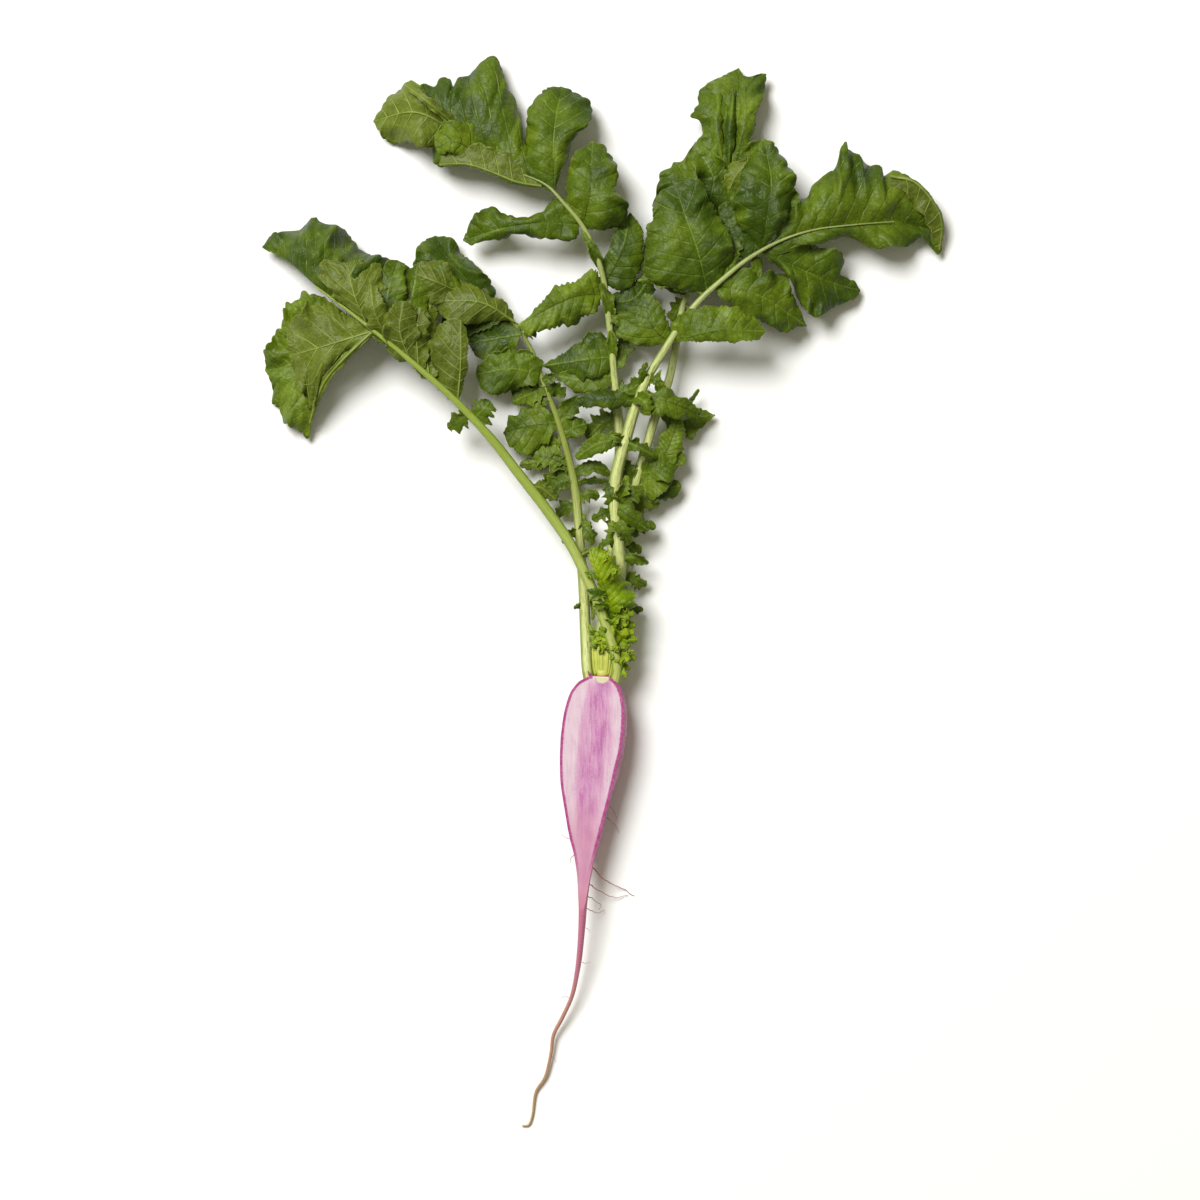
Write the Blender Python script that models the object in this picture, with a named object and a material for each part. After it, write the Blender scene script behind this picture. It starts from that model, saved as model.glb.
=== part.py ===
"""Half of a long purple radish, cut lengthwise and lying on its skin, with its leafy top.

Lengths in the tables are millimetres in the part's own frame: +Y runs from the root up to the
leaf tips, +X to the right, +Z up, and the origin is the flat spot that the root rests on.
"""

import math
from dataclasses import dataclass

import bmesh
import bpy
from mathutils import Vector

MM = 0.001
UP = Vector((0, 0, 1))

# Root: stations down its axis, from crown to tail tip: x, y, height of the axis, radius
ROOT_STATIONS = [
    (4.0, 37.6, 19.4, 6.4),
    (3.9, 36.2, 19.2, 8.6),
    (3.6, 33.6, 19.0, 11.5),
    (2.9, 29.6, 18.7, 14.0),
    (2.0, 24.5, 17.6, 16.1),
    (1.3, 18.0, 16.9, 17.4),
    (0.3, 10.0, 16.9, 17.9),
    (-0.8, 0.0, 16.9, 17.8),
    (-2.1, -10.0, 16.3, 16.9),
    (-3.3, -20.0, 17.2, 15.4),
    (-4.0, -30.0, 18.2, 13.3),
    (-4.6, -40.0, 18.8, 11.0),
    (-4.9, -50.0, 19.1, 8.8),
    (-5.0, -60.0, 19.2, 6.2),
    (-5.4, -70.0, 19.3, 4.2),
    (-5.9, -80.0, 19.1, 3.0),
    (-6.4, -95.0, 17.6, 2.1),
    (-7.6, -112.0, 14.4, 1.7),
    (-9.2, -125.0, 11.6, 1.4),
    (-12.2, -139.0, 8.6, 1.2),
    (-17.4, -151.0, 6.2, 1.1),
    (-22.4, -161.0, 4.5, 1.0),
    (-23.8, -171.0, 3.4, 0.9),
    (-26.9, -184.0, 2.3, 0.8),
    (-32.3, -193.0, 1.6, 0.7),
    (-34.0, -205.0, 1.1, 0.7),
    (-36.0, -211.0, 0.9, 0.65),
    (-39.6, -211.8, 0.8, 0.55),
]
ROOT_SIDES = 18
ROOT_FACE_SIDES = 5
CUT_HEIGHT = 21.7
CUT_ROLL = math.radians(12)

NODE_GAP = 0.35
STALK_SIDES = 7
RIB_HALF_THICK = 0.6
MARGIN_HALF_THICK = 0.38
SMALLEST_HALF_WIDTH = 0.6
BASE_HALF_WIDTH = 1.0


@dataclass
class Blade:
    """One lobe or leaflet. Its spine runs from the stalk to its tip.

    Its sides, left and right as seen from its base, are each a half width or margin points (x, y).
    """

    spine: list
    sides: tuple
    lift: tuple = (0, 0)
    arch: tuple = (0, 0)
    rows: int = 5
    strips: int = 2
    tooth: float = 0.05
    ruffle: float = 0.8


@dataclass
class Leaf:
    """A leaf: its stalk as x, y, z and radius, and its blades."""

    stalk: list
    blades: list


def lobe(spine, left, right, **looks):
    """A large lobe, with enough faces for its waved margin."""
    return Blade(spine, (left, right), **{"rows": 9, "strips": 4, "ruffle": 1.8, "tooth": 0.06, **looks})


def leaflet(spine, left, right, **looks):
    """A side leaflet."""
    return Blade(spine, (left, right), **looks)


def frill(spine, left, right, **looks):
    """A small toothed leaflet low on the stalk."""
    return Blade(spine, (left, right), **{"rows": 4, "ruffle": 0.4, "tooth": 0.2, **looks})


LEFT_LEAF = Leaf(
    stalk=[
        (13.0, 30.0, 19.4, 2.6),
        (15.2, 40.0, 20.8, 2.6),
        (13.4, 48.0, 22.6, 2.5),
        (9.2, 58.0, 24.6, 2.4),
        (4.0, 73.0, 26.8, 2.4),
        (-3.0, 90.0, 27.2, 2.5),
        (-12.7, 110.0, 26.8, 2.5),
        (-26.5, 130.0, 26.2, 2.5),
        (-42.0, 150.0, 26.2, 2.4),
        (-57.0, 169.0, 26.6, 2.3),
        (-76.0, 189.0, 27.2, 2.1),
        (-99.0, 209.5, 28.5, 1.9),
        (-118.0, 225.0, 30.0, 1.6),
        (-137.0, 240.0, 29.0, 1.2),
        (-153.0, 252.0, 26.0, 0.8),
    ],
    blades=[
        lobe(
            [(-112, 220), (-137, 240, 29), (-153, 253, 26), (-168, 266, 17), (-183, 275, 8)],
            [(-148, 249), (-158, 259), (-171, 269)],
            [(-103, 243), (-101, 262), (-110, 267), (-121, 270), (-131, 276), (-140, 284), (-150, 288),
             (-156, 290), (-163, 285), (-177, 282)],
            lift=(-2, -14), arch=(0, 7),
        ),
        leaflet(
            [(-124, 230), (-131, 247, 37), (-135, 264, 33)],
            [(-136, 240), (-147, 251), (-152, 262), (-143, 266)],
            [(-118, 240), (-114, 256), (-122, 266)],
            lift=(-2, -3), rows=7, strips=4,
        ),
        lobe(
            [(-121, 227), (-145, 220, 24), (-168, 214, 15)],
            [(-130, 218), (-140, 211), (-150, 198), (-156, 183), (-161, 196), (-165, 204)],
            [(-138, 238), (-150, 248), (-156, 248), (-160, 240), (-168, 232), (-169, 223)],
            lift=(-7, -3), arch=(2, 1),
        ),
        lobe(
            [(-119, 226), (-150, 214, 14), (-182, 207, 0.5)],
            [(-130, 217), (-142, 208), (-150, 197), (-156, 180), (-158, 170), (-166, 173), (-173, 182),
             (-178, 190), (-178, 198)],
            [(-136, 236), (-150, 246), (-160, 248), (-170, 241), (-175, 229), (-181, 222), (-182, 215)],
            lift=(-4, 0), arch=(1, 0),
        ),
        leaflet([(-112, 220), (-113, 245, 34), (-108, 266, 27)], 11, 11, lift=(-3, -4), rows=7, strips=4),
        leaflet([(-101, 211), (-106, 227, 37), (-104, 243, 37)], 8, 10, lift=(2, -3)),
        leaflet([(-90, 201), (-93, 222, 28), (-90, 242, 24)], 7, 7, lift=(-2, -2)),
        leaflet(
            [(-75, 188), (-73, 210, 33), (-73, 233, 31)],
            [(-80, 190), (-87, 201), (-88, 218), (-86, 228), (-80, 233)],
            [(-71, 200), (-70, 215), (-71, 228)],
            lift=(-4, -2), arch=(2, 0), rows=7, strips=4,
        ),
        frill([(-69, 182), (-74, 177, 25), (-79, 173, 21)], 4, 4),
        frill([(-66, 179), (-62, 184, 30), (-58, 188, 29)], 4, 5),
        frill([(-36, 142), (-29, 141, 25), (-21, 135, 22)], 3, 4),
        frill([(-9, 103), (-4, 106, 26), (0, 108, 25)], 2, 2),
        frill([(-1, 84), (0, 77, 24), (-1, 69, 22)], 1.6, 1.6),
    ],
)

INNER_LEFT_LEAF = Leaf(
    stalk=[
        (-1.5, 31.0, 16.0, 2.8),
        (-3.6, 42.0, 15.0, 2.7),
        (-4.3, 55.0, 12.8, 2.7),
        (-5.0, 70.0, 11.6, 2.6),
        (-6.0, 90.0, 11.0, 2.4),
        (-8.0, 115.0, 11.0, 2.2),
        (-10.2, 140.0, 12.0, 2.1),
        (-15.0, 162.0, 13.5, 1.9),
        (-21.0, 182.0, 15.0, 1.7),
        (-27.0, 197.0, 16.5, 1.5),
        (-32.0, 212.0, 17.5, 1.4),
        (-38.0, 224.0, 18.5, 1.4),
        (-46.0, 234.0, 19.0, 1.4),
        (-58.0, 241.0, 19.0, 1.1),
        (-70.0, 249.0, 18.0, 0.8),
    ],
    blades=[
        lobe(
            [(-58, 241), (-70, 256, 17), (-80, 268, 12), (-88, 281, 5)],
            [(-68, 246), (-84, 250), (-96, 257), (-99, 265), (-99, 272), (-94, 277)],
            [(-54, 251), (-60, 261), (-69, 269), (-76, 277), (-83, 279)],
            lift=(-3, -3), arch=(2, 2),
        ),
        leaflet(
            [(-66, 246), (-84, 256, 24), (-100, 257, 20)],
            [(-78, 247), (-90, 246), (-98, 248)],
            [(-76, 258), (-82, 265), (-92, 267), (-99, 264)],
            lift=(-2, -3),
        ),
        leaflet(
            [(-44, 233), (-62, 243, 26), (-87, 244, 22)],
            [(-52, 234), (-63, 233), (-76, 233), (-85, 238)],
            [(-48, 243), (-57, 249), (-66, 253), (-75, 255), (-82, 250)],
            lift=(-3, -4), arch=(1, 1), rows=7, strips=4,
        ),
        leaflet([(-40, 226), (-54, 224, 15), (-69, 221, 12)], [(-48, 217), (-60, 215)], [(-45, 232), (-57, 231), (-65, 226)]),
        leaflet(
            [(-30, 204), (-46, 207, 20), (-65, 204, 15)],
            [(-35, 199), (-45, 196), (-55, 194), (-62, 197)],
            [(-32, 209), (-40, 213), (-47, 217), (-55, 214), (-63, 210)],
            lift=(-3, -2), rows=7,
        ),
        frill([(-38, 225), (-34, 228, 18), (-30, 231, 15)], 3, 3),
        frill([(-28, 200), (-25, 202, 17.5), (-21, 203, 17.5)], 3, 3),
        frill([(-27, 196), (-36, 193, 13), (-45, 189, 9)], 6, 4),
        frill([(-26, 195), (-21, 196, 14), (-16, 192, 12)], 4, 4),
        leaflet(
            [(-19, 177), (-34, 176, 14), (-50, 172, 10)],
            [(-27, 165), (-38, 159), (-46, 164)],
            [(-26, 186), (-36, 187), (-46, 181)],
            lift=(-2, -2),
        ),
        frill([(-17, 168), (-27, 164, 10), (-35, 160, 8)], 4, 4),
        leaflet([(-17, 171), (-11, 175, 14), (-4, 177, 12)], 6, 6),
        frill([(-12, 149), (-22, 147, 10), (-30, 141, 7)], 5, 5),
        frill([(-14, 157), (-27, 156, 11), (-41, 154, 8)], 4, 4),
        leaflet([(-11, 149), (0, 153, 13), (9, 149, 11)], 4, 3.5, lift=(-1, -1)),
        frill([(-10, 144), (0, 146, 9), (8, 145, 7)], 1.6, 1.6),
        frill([(-9, 130), (-15, 131, 9), (-21, 126, 7)], 4, 4),
        frill([(-8, 127), (-5, 121, 12), (-4, 114, 11)], 3, 3.5),
        frill([(-5.5, 77), (-8, 77, 13), (-11, 75, 12)], 1.3, 1.3),
    ],
)

UPPER_LEFT_LEAF = Leaf(
    stalk=[
        (1.8, 31.0, 12.6, 2.7),
        (0.8, 42.0, 9.8, 2.7),
        (2.5, 55.0, 6.8, 2.7),
        (6.0, 75.0, 5.6, 2.6),
        (9.0, 100.0, 5.5, 2.5),
        (11.5, 125.0, 6.0, 2.4),
        (13.5, 150.0, 7.0, 2.3),
        (14.0, 172.0, 8.5, 2.2),
        (12.5, 190.0, 10.5, 2.1),
        (11.0, 205.0, 12.5, 2.0),
        (9.5, 222.0, 15.0, 1.9),
        (7.5, 240.0, 17.0, 1.8),
        (5.0, 257.0, 19.0, 1.7),
        (0.0, 273.0, 21.0, 1.6),
        (-7.0, 286.0, 22.5, 1.5),
        (-17.0, 298.0, 23.5, 1.4),
        (-27.0, 308.0, 24.0, 1.3),
        (-45.0, 316.0, 22.0, 1.1),
        (-65.0, 326.0, 18.0, 0.9),
        (-82.0, 338.0, 14.0, 0.7),
    ],
    blades=[
        lobe(
            [(-27, 308), (-45, 316, 22), (-65, 326, 18), (-84, 339, 14), (-101, 354, 8)],
            [(-36, 309), (-50, 315), (-64, 320), (-86, 319), (-89, 329), (-98, 340)],
            [(-34, 324), (-39, 334), (-42, 350), (-48, 364), (-52, 375), (-58, 380), (-68, 372), (-78, 364),
             (-84, 369), (-93, 365)],
            lift=(-3, -9), arch=(1, 5), rows=11,
        ),
        lobe(
            [(-76, 338), (-98, 348, 20), (-122, 345, 1.5)],
            [(-88, 329), (-102, 331), (-116, 335)],
            [(-84, 352), (-98, 364), (-104, 365), (-113, 358), (-119, 351)],
            lift=(-2, -4), arch=(1, 2), rows=7,
        ),
        leaflet([(-63, 325), (-76, 331, 26), (-87, 328, 23)], 7, 12, lift=(-2, -4)),
        leaflet([(-30, 309), (-55, 321, 27), (-84, 323, 22)], 5, 7, lift=(-2, -2), rows=7),
        lobe(
            [(-22, 303), (-22, 335, 25), (-18, 363, 9)],
            [(-29, 320), (-35, 336), (-36, 346), (-32, 358), (-26, 362)],
            [(-17, 320), (-9, 336), (-3, 341), (-1, 348), (-4, 356), (-12, 361)],
            lift=(-5, -5), arch=(2, 2),
        ),
        lobe(
            [(-4, 281), (-2, 305, 29), (-1, 332, 19)],
            [(-10, 292), (-14, 303), (-14, 315), (-11, 323), (-5, 330)],
            [(5, 283), (14, 285), (19, 296), (12, 305), (13, 318), (7, 328)],
            lift=(-4, -4), arch=(1, 2),
        ),
        lobe(
            [(-8, 286), (-38, 286, 26), (-72, 278, 14)],
            [(-11, 277), (-24, 278), (-40, 280), (-58, 278), (-67, 275)],
            [(-20, 300), (-30, 292), (-38, 290), (-50, 292), (-58, 297), (-66, 291), (-70, 284)],
            lift=(-3, -4), arch=(1, 1),
        ),
        leaflet(
            [(6, 253), (15, 271, 22), (20, 293, 15)],
            [(4, 264), (10, 280), (16, 289)],
            [(15, 250), (24, 256), (27, 268), (28, 281), (25, 287)],
            lift=(-2, -3), rows=7,
        ),
        leaflet(
            [(6, 248), (-14, 245, 25), (-42, 230, 24)],
            [(0, 237), (-10, 232), (-22, 228), (-34, 224)],
            [(0, 262), (-8, 258), (-22, 251), (-30, 242), (-38, 234)],
            lift=(-3, -3), arch=(1, 1), rows=7, strips=4,
        ),
        frill([(8, 237), (12, 235, 19), (16, 238, 18)], 4, 4),
        leaflet(
            [(10, 214), (-7, 212, 16), (-28, 209, 9)],
            [(6, 203), (-8, 201), (-20, 204)],
            [(8, 226), (-2, 227), (-8, 222), (-20, 215)],
            lift=(-3, -3), rows=7,
        ),
        frill([(11, 209), (15, 215, 11), (17, 226, 8)], 5, 5),
        frill([(13.5, 181), (5, 178, 8), (-4, 169, 5)], 4, 5),
    ],
)

UPPER_MIDDLE_LEAF = Leaf(
    stalk=[
        (6.8, 31.0, 11.2, 2.7),
        (6.6, 42.0, 8.6, 2.7),
        (8.8, 55.0, 6.5, 2.7),
        (13.0, 75.0, 5.8, 2.6),
        (17.5, 100.0, 6.0, 2.5),
        (20.5, 122.0, 7.0, 2.4),
        (22.3, 140.0, 8.5, 2.3),
        (25.0, 152.0, 9.5, 2.3),
        (29.2, 165.0, 10.5, 2.2),
        (33.5, 180.0, 11.5, 2.2),
        (41.0, 200.0, 12.5, 2.1),
        (45.5, 222.0, 13.0, 2.0),
        (49.0, 242.0, 13.5, 1.8),
        (56.0, 262.0, 14.5, 1.6),
        (66.0, 283.0, 16.0, 1.5),
        (73.0, 303.0, 18.0, 1.3),
        (77.0, 322.0, 19.5, 1.1),
        (79.0, 342.0, 18.0, 0.9),
        (79.0, 360.0, 12.0, 0.6),
    ],
    blades=[
        lobe(
            [(75, 314), (79, 342, 18), (80, 358, 12), (80, 374, 3)],
            [(62, 324), (59, 335), (55, 350), (58, 360), (65, 367), (73, 371)],
            [(84, 325), (88, 338), (91, 349), (95, 369), (88, 368)],
            lift=(-3, -2), arch=(1, 1),
        ),
        lobe(
            [(70, 293), (58, 303, 19), (44, 321, 12)],
            [(56, 284), (42, 284), (34, 290), (34, 300), (37, 312)],
            [(72, 308), (66, 321), (58, 332), (50, 329)],
            lift=(-3, -2), arch=(1, 1),
        ),
        leaflet([(76, 315), (83, 322, 21), (92, 332, 17)], 5, 5),
        leaflet([(69, 289), (78, 299, 20), (83, 316, 19)], 6, 5),
        leaflet([(58, 266), (66, 274, 16), (76, 284, 14)], 8, 8),
        leaflet([(52, 250), (37, 262, 15), (31, 288, 11)], 6, 7, lift=(-1, -1)),
        frill([(50, 245), (46, 240, 10), (43, 234, 8)], 5, 5),
        frill([(39, 195), (50, 188, 9), (58, 196, 10)], 1.5, 2),
        leaflet([(35, 184), (50, 181, 7), (67, 182, 5)], [(42, 187), (53, 187), (61, 185)], [(42, 172), (53, 169), (62, 177)]),
        leaflet([(26, 154), (39, 157, 14), (47, 181, 14)], 6, 7, lift=(-2, -2), rows=7),
        leaflet([(23, 143), (34, 141, 12), (48, 143, 9)], 7, 7, lift=(-2, -2)),
        frill([(23, 145), (19, 150, 12), (17, 157, 12)], 3, 3.5),
        frill([(21.5, 131), (17, 137, 12), (15, 142, 11)], 3, 3),
        frill([(22, 134), (26, 138, 12), (28, 144, 11)], 3, 3),
        frill([(20, 113), (20, 119, 11), (18, 127, 10)], 4, 4),
        frill([(18.5, 105), (22, 109, 11), (26, 106, 9)], 3, 3),
        frill([(17, 95), (23, 91, 10), (29, 88, 7)], 3, 4),
        frill([(14, 80), (20, 76, 9), (27, 74, 7)], 3, 3),
    ],
)

UPPER_RIGHT_LEAF = Leaf(
    stalk=[
        (11.2, 31.0, 13.8, 2.7),
        (12.8, 42.0, 12.8, 2.7),
        (12.2, 55.0, 13.4, 2.8),
        (12.6, 75.0, 14.7, 2.8),
        (14.3, 98.0, 16.2, 2.9),
        (13.0, 112.0, 17.2, 3.0),
        (11.2, 132.0, 18.2, 3.0),
        (12.5, 150.0, 19.2, 2.9),
        (17.5, 168.0, 20.5, 2.7),
        (22.5, 185.0, 22.0, 2.5),
        (29.0, 201.0, 23.5, 2.2),
        (37.5, 215.0, 25.0, 2.0),
        (47.0, 230.0, 26.0, 1.9),
        (57.0, 243.0, 26.5, 1.8),
        (70.0, 255.0, 27.0, 1.6),
        (85.0, 267.0, 27.0, 1.5),
        (103.0, 277.0, 26.5, 1.3),
        (122.0, 283.0, 25.5, 1.1),
        (145.0, 286.0, 22.5, 0.9),
        (165.0, 288.0, 17.0, 0.7),
    ],
    blades=[
        lobe(
            [(103, 277), (122, 283, 25.5), (145, 286, 22), (168, 288, 14), (193, 284, 0.5)],
            [(110, 296), (119, 305), (131, 316), (136, 331), (143, 327), (151, 320), (159, 315), (168, 316),
             (178, 310), (186, 302), (191, 294)],
            [(116, 277), (130, 278), (141, 279), (157, 272), (172, 275), (181, 279), (191, 272)],
            lift=(-6, -3), arch=(5, 1), rows=11,
        ),
        leaflet([(166, 290), (181, 297, 9), (194, 284, 3)], [(178, 308), (188, 301), (193, 291)], 6, lift=(-2, 0)),
        lobe(
            [(94, 272), (112, 262, 23), (130, 255, 15), (147, 250, 5)],
            [(108, 273), (122, 275), (133, 272), (139, 266), (138, 259), (147, 255)],
            [(99, 265), (107, 257), (111, 247), (118, 240), (126, 235), (136, 242), (144, 246)],
            lift=(-2, -3), arch=(1, 2),
        ),
        lobe(
            [(91, 271), (95, 290, 33), (97, 310, 31), (93, 333, 24)],
            [(79, 281), (75, 290), (80, 302), (81, 315), (86, 321), (91, 327)],
            [(100, 283), (107, 297), (112, 307), (110, 317), (103, 327)],
            lift=(-4, -4), arch=(2, 2),
        ),
        lobe(
            [(62, 249), (57, 270, 34), (50, 290, 33), (44, 307, 28)],
            [(50, 252), (40, 263), (36, 276), (34, 290), (36, 299), (40, 305)],
            [(68, 257), (75, 272), (72, 286), (68, 296), (60, 307), (51, 309)],
            lift=(-4, -4), arch=(2, 2),
        ),
        leaflet([(60, 247), (42, 257, 29), (24, 255, 26)], [(50, 249), (35, 251)], [(48, 262), (33, 262)], lift=(-2, -2)),
        lobe(
            [(66, 252), (90, 247, 27), (117, 231, 12)],
            [(75, 258), (90, 259), (103, 262), (108, 252), (113, 241)],
            [(72, 246), (80, 238), (92, 232), (108, 227)],
            lift=(-3, -3), arch=(1, 1),
        ),
        leaflet(
            [(42, 222), (66, 227, 35), (94, 227, 29)],
            [(43, 234), (52, 239), (70, 241), (87, 236)],
            [(55, 221), (70, 221), (88, 221)],
            lift=(-3, -2), rows=7, strips=4,
        ),
        leaflet(
            [(41, 221), (31, 231, 30), (28, 248, 26)],
            [(34, 219), (21, 220), (12, 228), (14, 236), (23, 242)],
            [(43, 229), (38, 239), (33, 246)],
            lift=(-3, -2), rows=7, strips=4,
        ),
        leaflet([(24, 189), (8, 190, 26), (-10, 189, 21)], 5, 5, lift=(-2, -2)),
        leaflet([(23, 188), (38, 189, 28), (58, 182, 21)], 6, 8, lift=(-2, -2), rows=7),
        frill([(22, 192), (28, 188, 29), (30, 181, 27)], 4, 4),
        frill([(27, 197), (26, 203, 27), (29, 210, 28)], 2, 2.5),
        frill([(29, 200), (34, 200, 27), (38, 194, 25)], 4, 3),
        frill([(17, 166), (13, 169, 24), (9, 170, 23)], 3, 2),
        frill([(17, 167), (24, 164, 25), (33, 159, 21)], 3.5, 3.5),
        frill([(11, 126), (5, 126, 20), (0, 124, 17)], 2.5, 2.5),
        leaflet([(11, 131), (18, 127, 23), (30, 118, 18)], 5, 5, lift=(-1, -1)),
        frill([(14, 103), (22, 103, 20), (30, 100, 16)], 2.5, 3),
        frill([(13, 110), (8, 112, 21), (3, 109, 18)], 2.5, 2.5),
    ],
)

# The short young leaf and the stumps round it, which stand on the crown
YOUNG_LEAF = Leaf(
    stalk=[
        (5.0, 40.5, 16.4, 1.6),
        (7.5, 52.0, 18.2, 1.5),
        (11.0, 61.0, 20.5, 1.4),
        (11.5, 68.0, 22.5, 1.3),
        (9.0, 76.0, 25.5, 1.2),
        (6.0, 86.0, 29.5, 1.0),
        (2.0, 97.0, 32.6, 0.8),
        (-1.0, 104.0, 33.0, 0.6),
    ],
    blades=[
        lobe(
            [(11, 66), (9, 76, 25.5), (6, 86, 29.5), (1, 98, 33), (-2, 108, 32)],
            [(6, 74), (3, 86), (-1, 98), (-3, 106)],
            [(19, 76), (20, 84), (18, 94), (13, 98), (9, 106), (4, 109)],
            lift=(-1, -5), arch=(0, 1), rows=7,
        ),
        frill([(11, 61), (15, 60, 20), (19, 57, 19)], 3, 3),
        frill([(11.4, 65), (15, 66, 22), (19, 65, 21)], 3, 3),
        frill([(8.5, 55), (12, 53, 18.8), (17, 52, 18.6)], 2.5, 2.5),
        frill([(7.5, 51), (5, 55, 20), (3, 60, 20.5)], 2, 2),
        frill([(11.5, 69), (16, 72, 23), (20, 70, 23)], 3, 3),
    ],
)
CROWN_CENTRE = (4.7, 17.4)
CROWN_RADIUS = 4.2
CROWN_BASE = (38.05, 42.0)
STUMPS = 5
STUMP_RADIUS = (1.4, 0.8)
STUMP_TOP = 52.5

LEAVES = {
    "left_leaf": LEFT_LEAF,
    "inner_left_leaf": INNER_LEFT_LEAF,
    "upper_left_leaf": UPPER_LEFT_LEAF,
    "upper_middle_leaf": UPPER_MIDDLE_LEAF,
    "upper_right_leaf": UPPER_RIGHT_LEAF,
}

FINISHES = {
    "radish_root": ((0.78, 0.47, 0.63), 0.45),
    "leaf_green": ((0.13, 0.27, 0.04), 0.5),
    "young_green": ((0.42, 0.55, 0.12), 0.5),
}


def clear_scene():
    for old in list(bpy.data.objects):
        bpy.data.objects.remove(old)


def finish_of(name):
    found = bpy.data.materials.get(name)
    if found:
        return found
    colour, roughness = FINISHES[name]
    made = bpy.data.materials.new(name)
    made.use_nodes = True
    shader = made.node_tree.nodes["Principled BSDF"]
    shader.inputs["Base Color"].default_value = (*colour, 1)
    shader.inputs["Roughness"].default_value = roughness
    shader.inputs["Metallic"].default_value = 0
    return made


def make_object(name, points, faces, finish):
    """A mesh object from millimetre points, with its faces pointing out."""
    mesh = bpy.data.meshes.new(name)
    mesh.from_pydata([Vector(p) * MM for p in points], [], faces)
    shape = bmesh.new()
    shape.from_mesh(mesh)
    bmesh.ops.recalc_face_normals(shape, faces=shape.faces)
    shape.to_mesh(mesh)
    shape.free()
    made = bpy.data.objects.new(name, mesh)
    made.data.materials.append(finish_of(finish))
    bpy.context.scene.collection.objects.link(made)
    return made


def smooth_path(points, count):
    """count + 1 points, evenly spaced, on a smooth curve through the given ones."""
    points = [Vector(p) for p in points]
    first, last = 2 * points[0] - points[1], 2 * points[-1] - points[-2]
    ends = [first, *points, last]
    dense = []
    for a, b, c, d in zip(ends, ends[1:], ends[2:], ends[3:]):
        for step in range(16):
            t = step / 16
            dense.append(0.5 * (2 * b + (c - a) * t + (2 * a - 5 * b + 4 * c - d) * t**2
                                + (3 * b - a - 3 * c + d) * t**3))
    dense.append(points[-1])
    reach = [0.0]
    for a, b in zip(dense, dense[1:]):
        reach.append(reach[-1] + (b - a).length)
    path, at = [], 0
    for i in range(count + 1):
        goal = reach[-1] * i / count
        while at < len(dense) - 2 and reach[at + 1] < goal:
            at += 1
        share = (goal - reach[at]) / max(reach[at + 1] - reach[at], 1e-9)
        path.append(dense[at].lerp(dense[at + 1], min(share, 1)))
    return path


def directions(path):
    """At each point of a path: its left side and its upper face."""
    found = []
    for i in range(len(path)):
        along = (path[min(i + 1, len(path) - 1)].to_3d() - path[max(i - 1, 0)].to_3d()).normalized()
        left = UP.cross(along).normalized()
        found.append((left, along.cross(left)))
    return found


def tube(stations, sides, ring_count):
    """A closed tube along x, y, z, radius stations, as points and triangles."""
    path = smooth_path(stations, ring_count)
    points, faces = [], []
    for spot, (left, above) in zip(path, directions(path)):
        for k in range(sides):
            angle = math.tau * k / sides
            points.append(spot.to_3d() + spot[3] * (math.cos(angle) * left + math.sin(angle) * above))
    for i in range(ring_count):
        for k in range(sides):
            a, b = i * sides + k, i * sides + (k + 1) % sides
            faces += [(a, b, b + sides), (a, b + sides, a + sides)]
    for k in range(1, sides - 1):
        faces += [(0, k + 1, k), (ring_count * sides, ring_count * sides + k, ring_count * sides + k + 1)]
    return points, faces


def cut_height(x):
    """Height of the knife's plane, which is rolled a little to the left."""
    return CUT_HEIGHT + math.tan(CUT_ROLL) * x


def root_ring(spot, left, radius, swell):
    """One cross-section: an arc of skin from edge to edge, then the cut face or, on the tail, the round top."""
    def on_circle(angle):
        return spot + radius * (math.cos(angle) * left + math.sin(angle) * UP)

    def above_cut(angle):
        here = on_circle(angle)
        return here.z > cut_height(here.x) + swell

    cut = [a for a in (math.radians(degree) for degree in range(180)) if above_cut(a)]
    first, last = (cut[0], cut[-1]) if len(cut) > 1 else (math.radians(60), math.radians(120))
    skin_sides = ROOT_SIDES - ROOT_FACE_SIDES
    ring = [on_circle(last + (math.tau - last + first) * k / skin_sides) for k in range(skin_sides + 1)]
    start, end = ring[-1], ring[0]
    for k in range(1, ROOT_FACE_SIDES):
        across = (start.lerp(end, k / ROOT_FACE_SIDES) - spot).dot(left) / radius
        ring.append(on_circle(math.acos(max(-1, min(1, across)))))
    return [Vector((p.x, p.y, max(-swell, min(p.z, cut_height(p.x) + swell)))) for p in ring]


def radish_root(name="radish_root", swell=0):
    """The half root with its whole tail, lofted from ring to ring."""
    stations = [Vector(s) for s in ROOT_STATIONS]
    points, faces = [], []
    for i, station in enumerate(stations):
        along = stations[min(i + 1, len(stations) - 1)].to_3d() - stations[max(i - 1, 0)].to_3d()
        level = Vector((along.x, along.y, 0)).normalized()
        shift = swell * (level if i == len(stations) - 1 else -level if i == 0 else Vector())
        points += root_ring(station.to_3d() + shift, UP.cross(level), station[3] + swell, swell)
    for i in range(len(stations) - 1):
        for k in range(ROOT_SIDES):
            a, b = i * ROOT_SIDES + k, i * ROOT_SIDES + (k + 1) % ROOT_SIDES
            faces += [(a, b, b + ROOT_SIDES), (a, b + ROOT_SIDES, a + ROOT_SIDES)]
    last = (len(stations) - 1) * ROOT_SIDES
    faces += [tuple(range(ROOT_SIDES)), tuple(range(last, last + ROOT_SIDES))]
    return make_object(name, points, faces, "radish_root")


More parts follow.
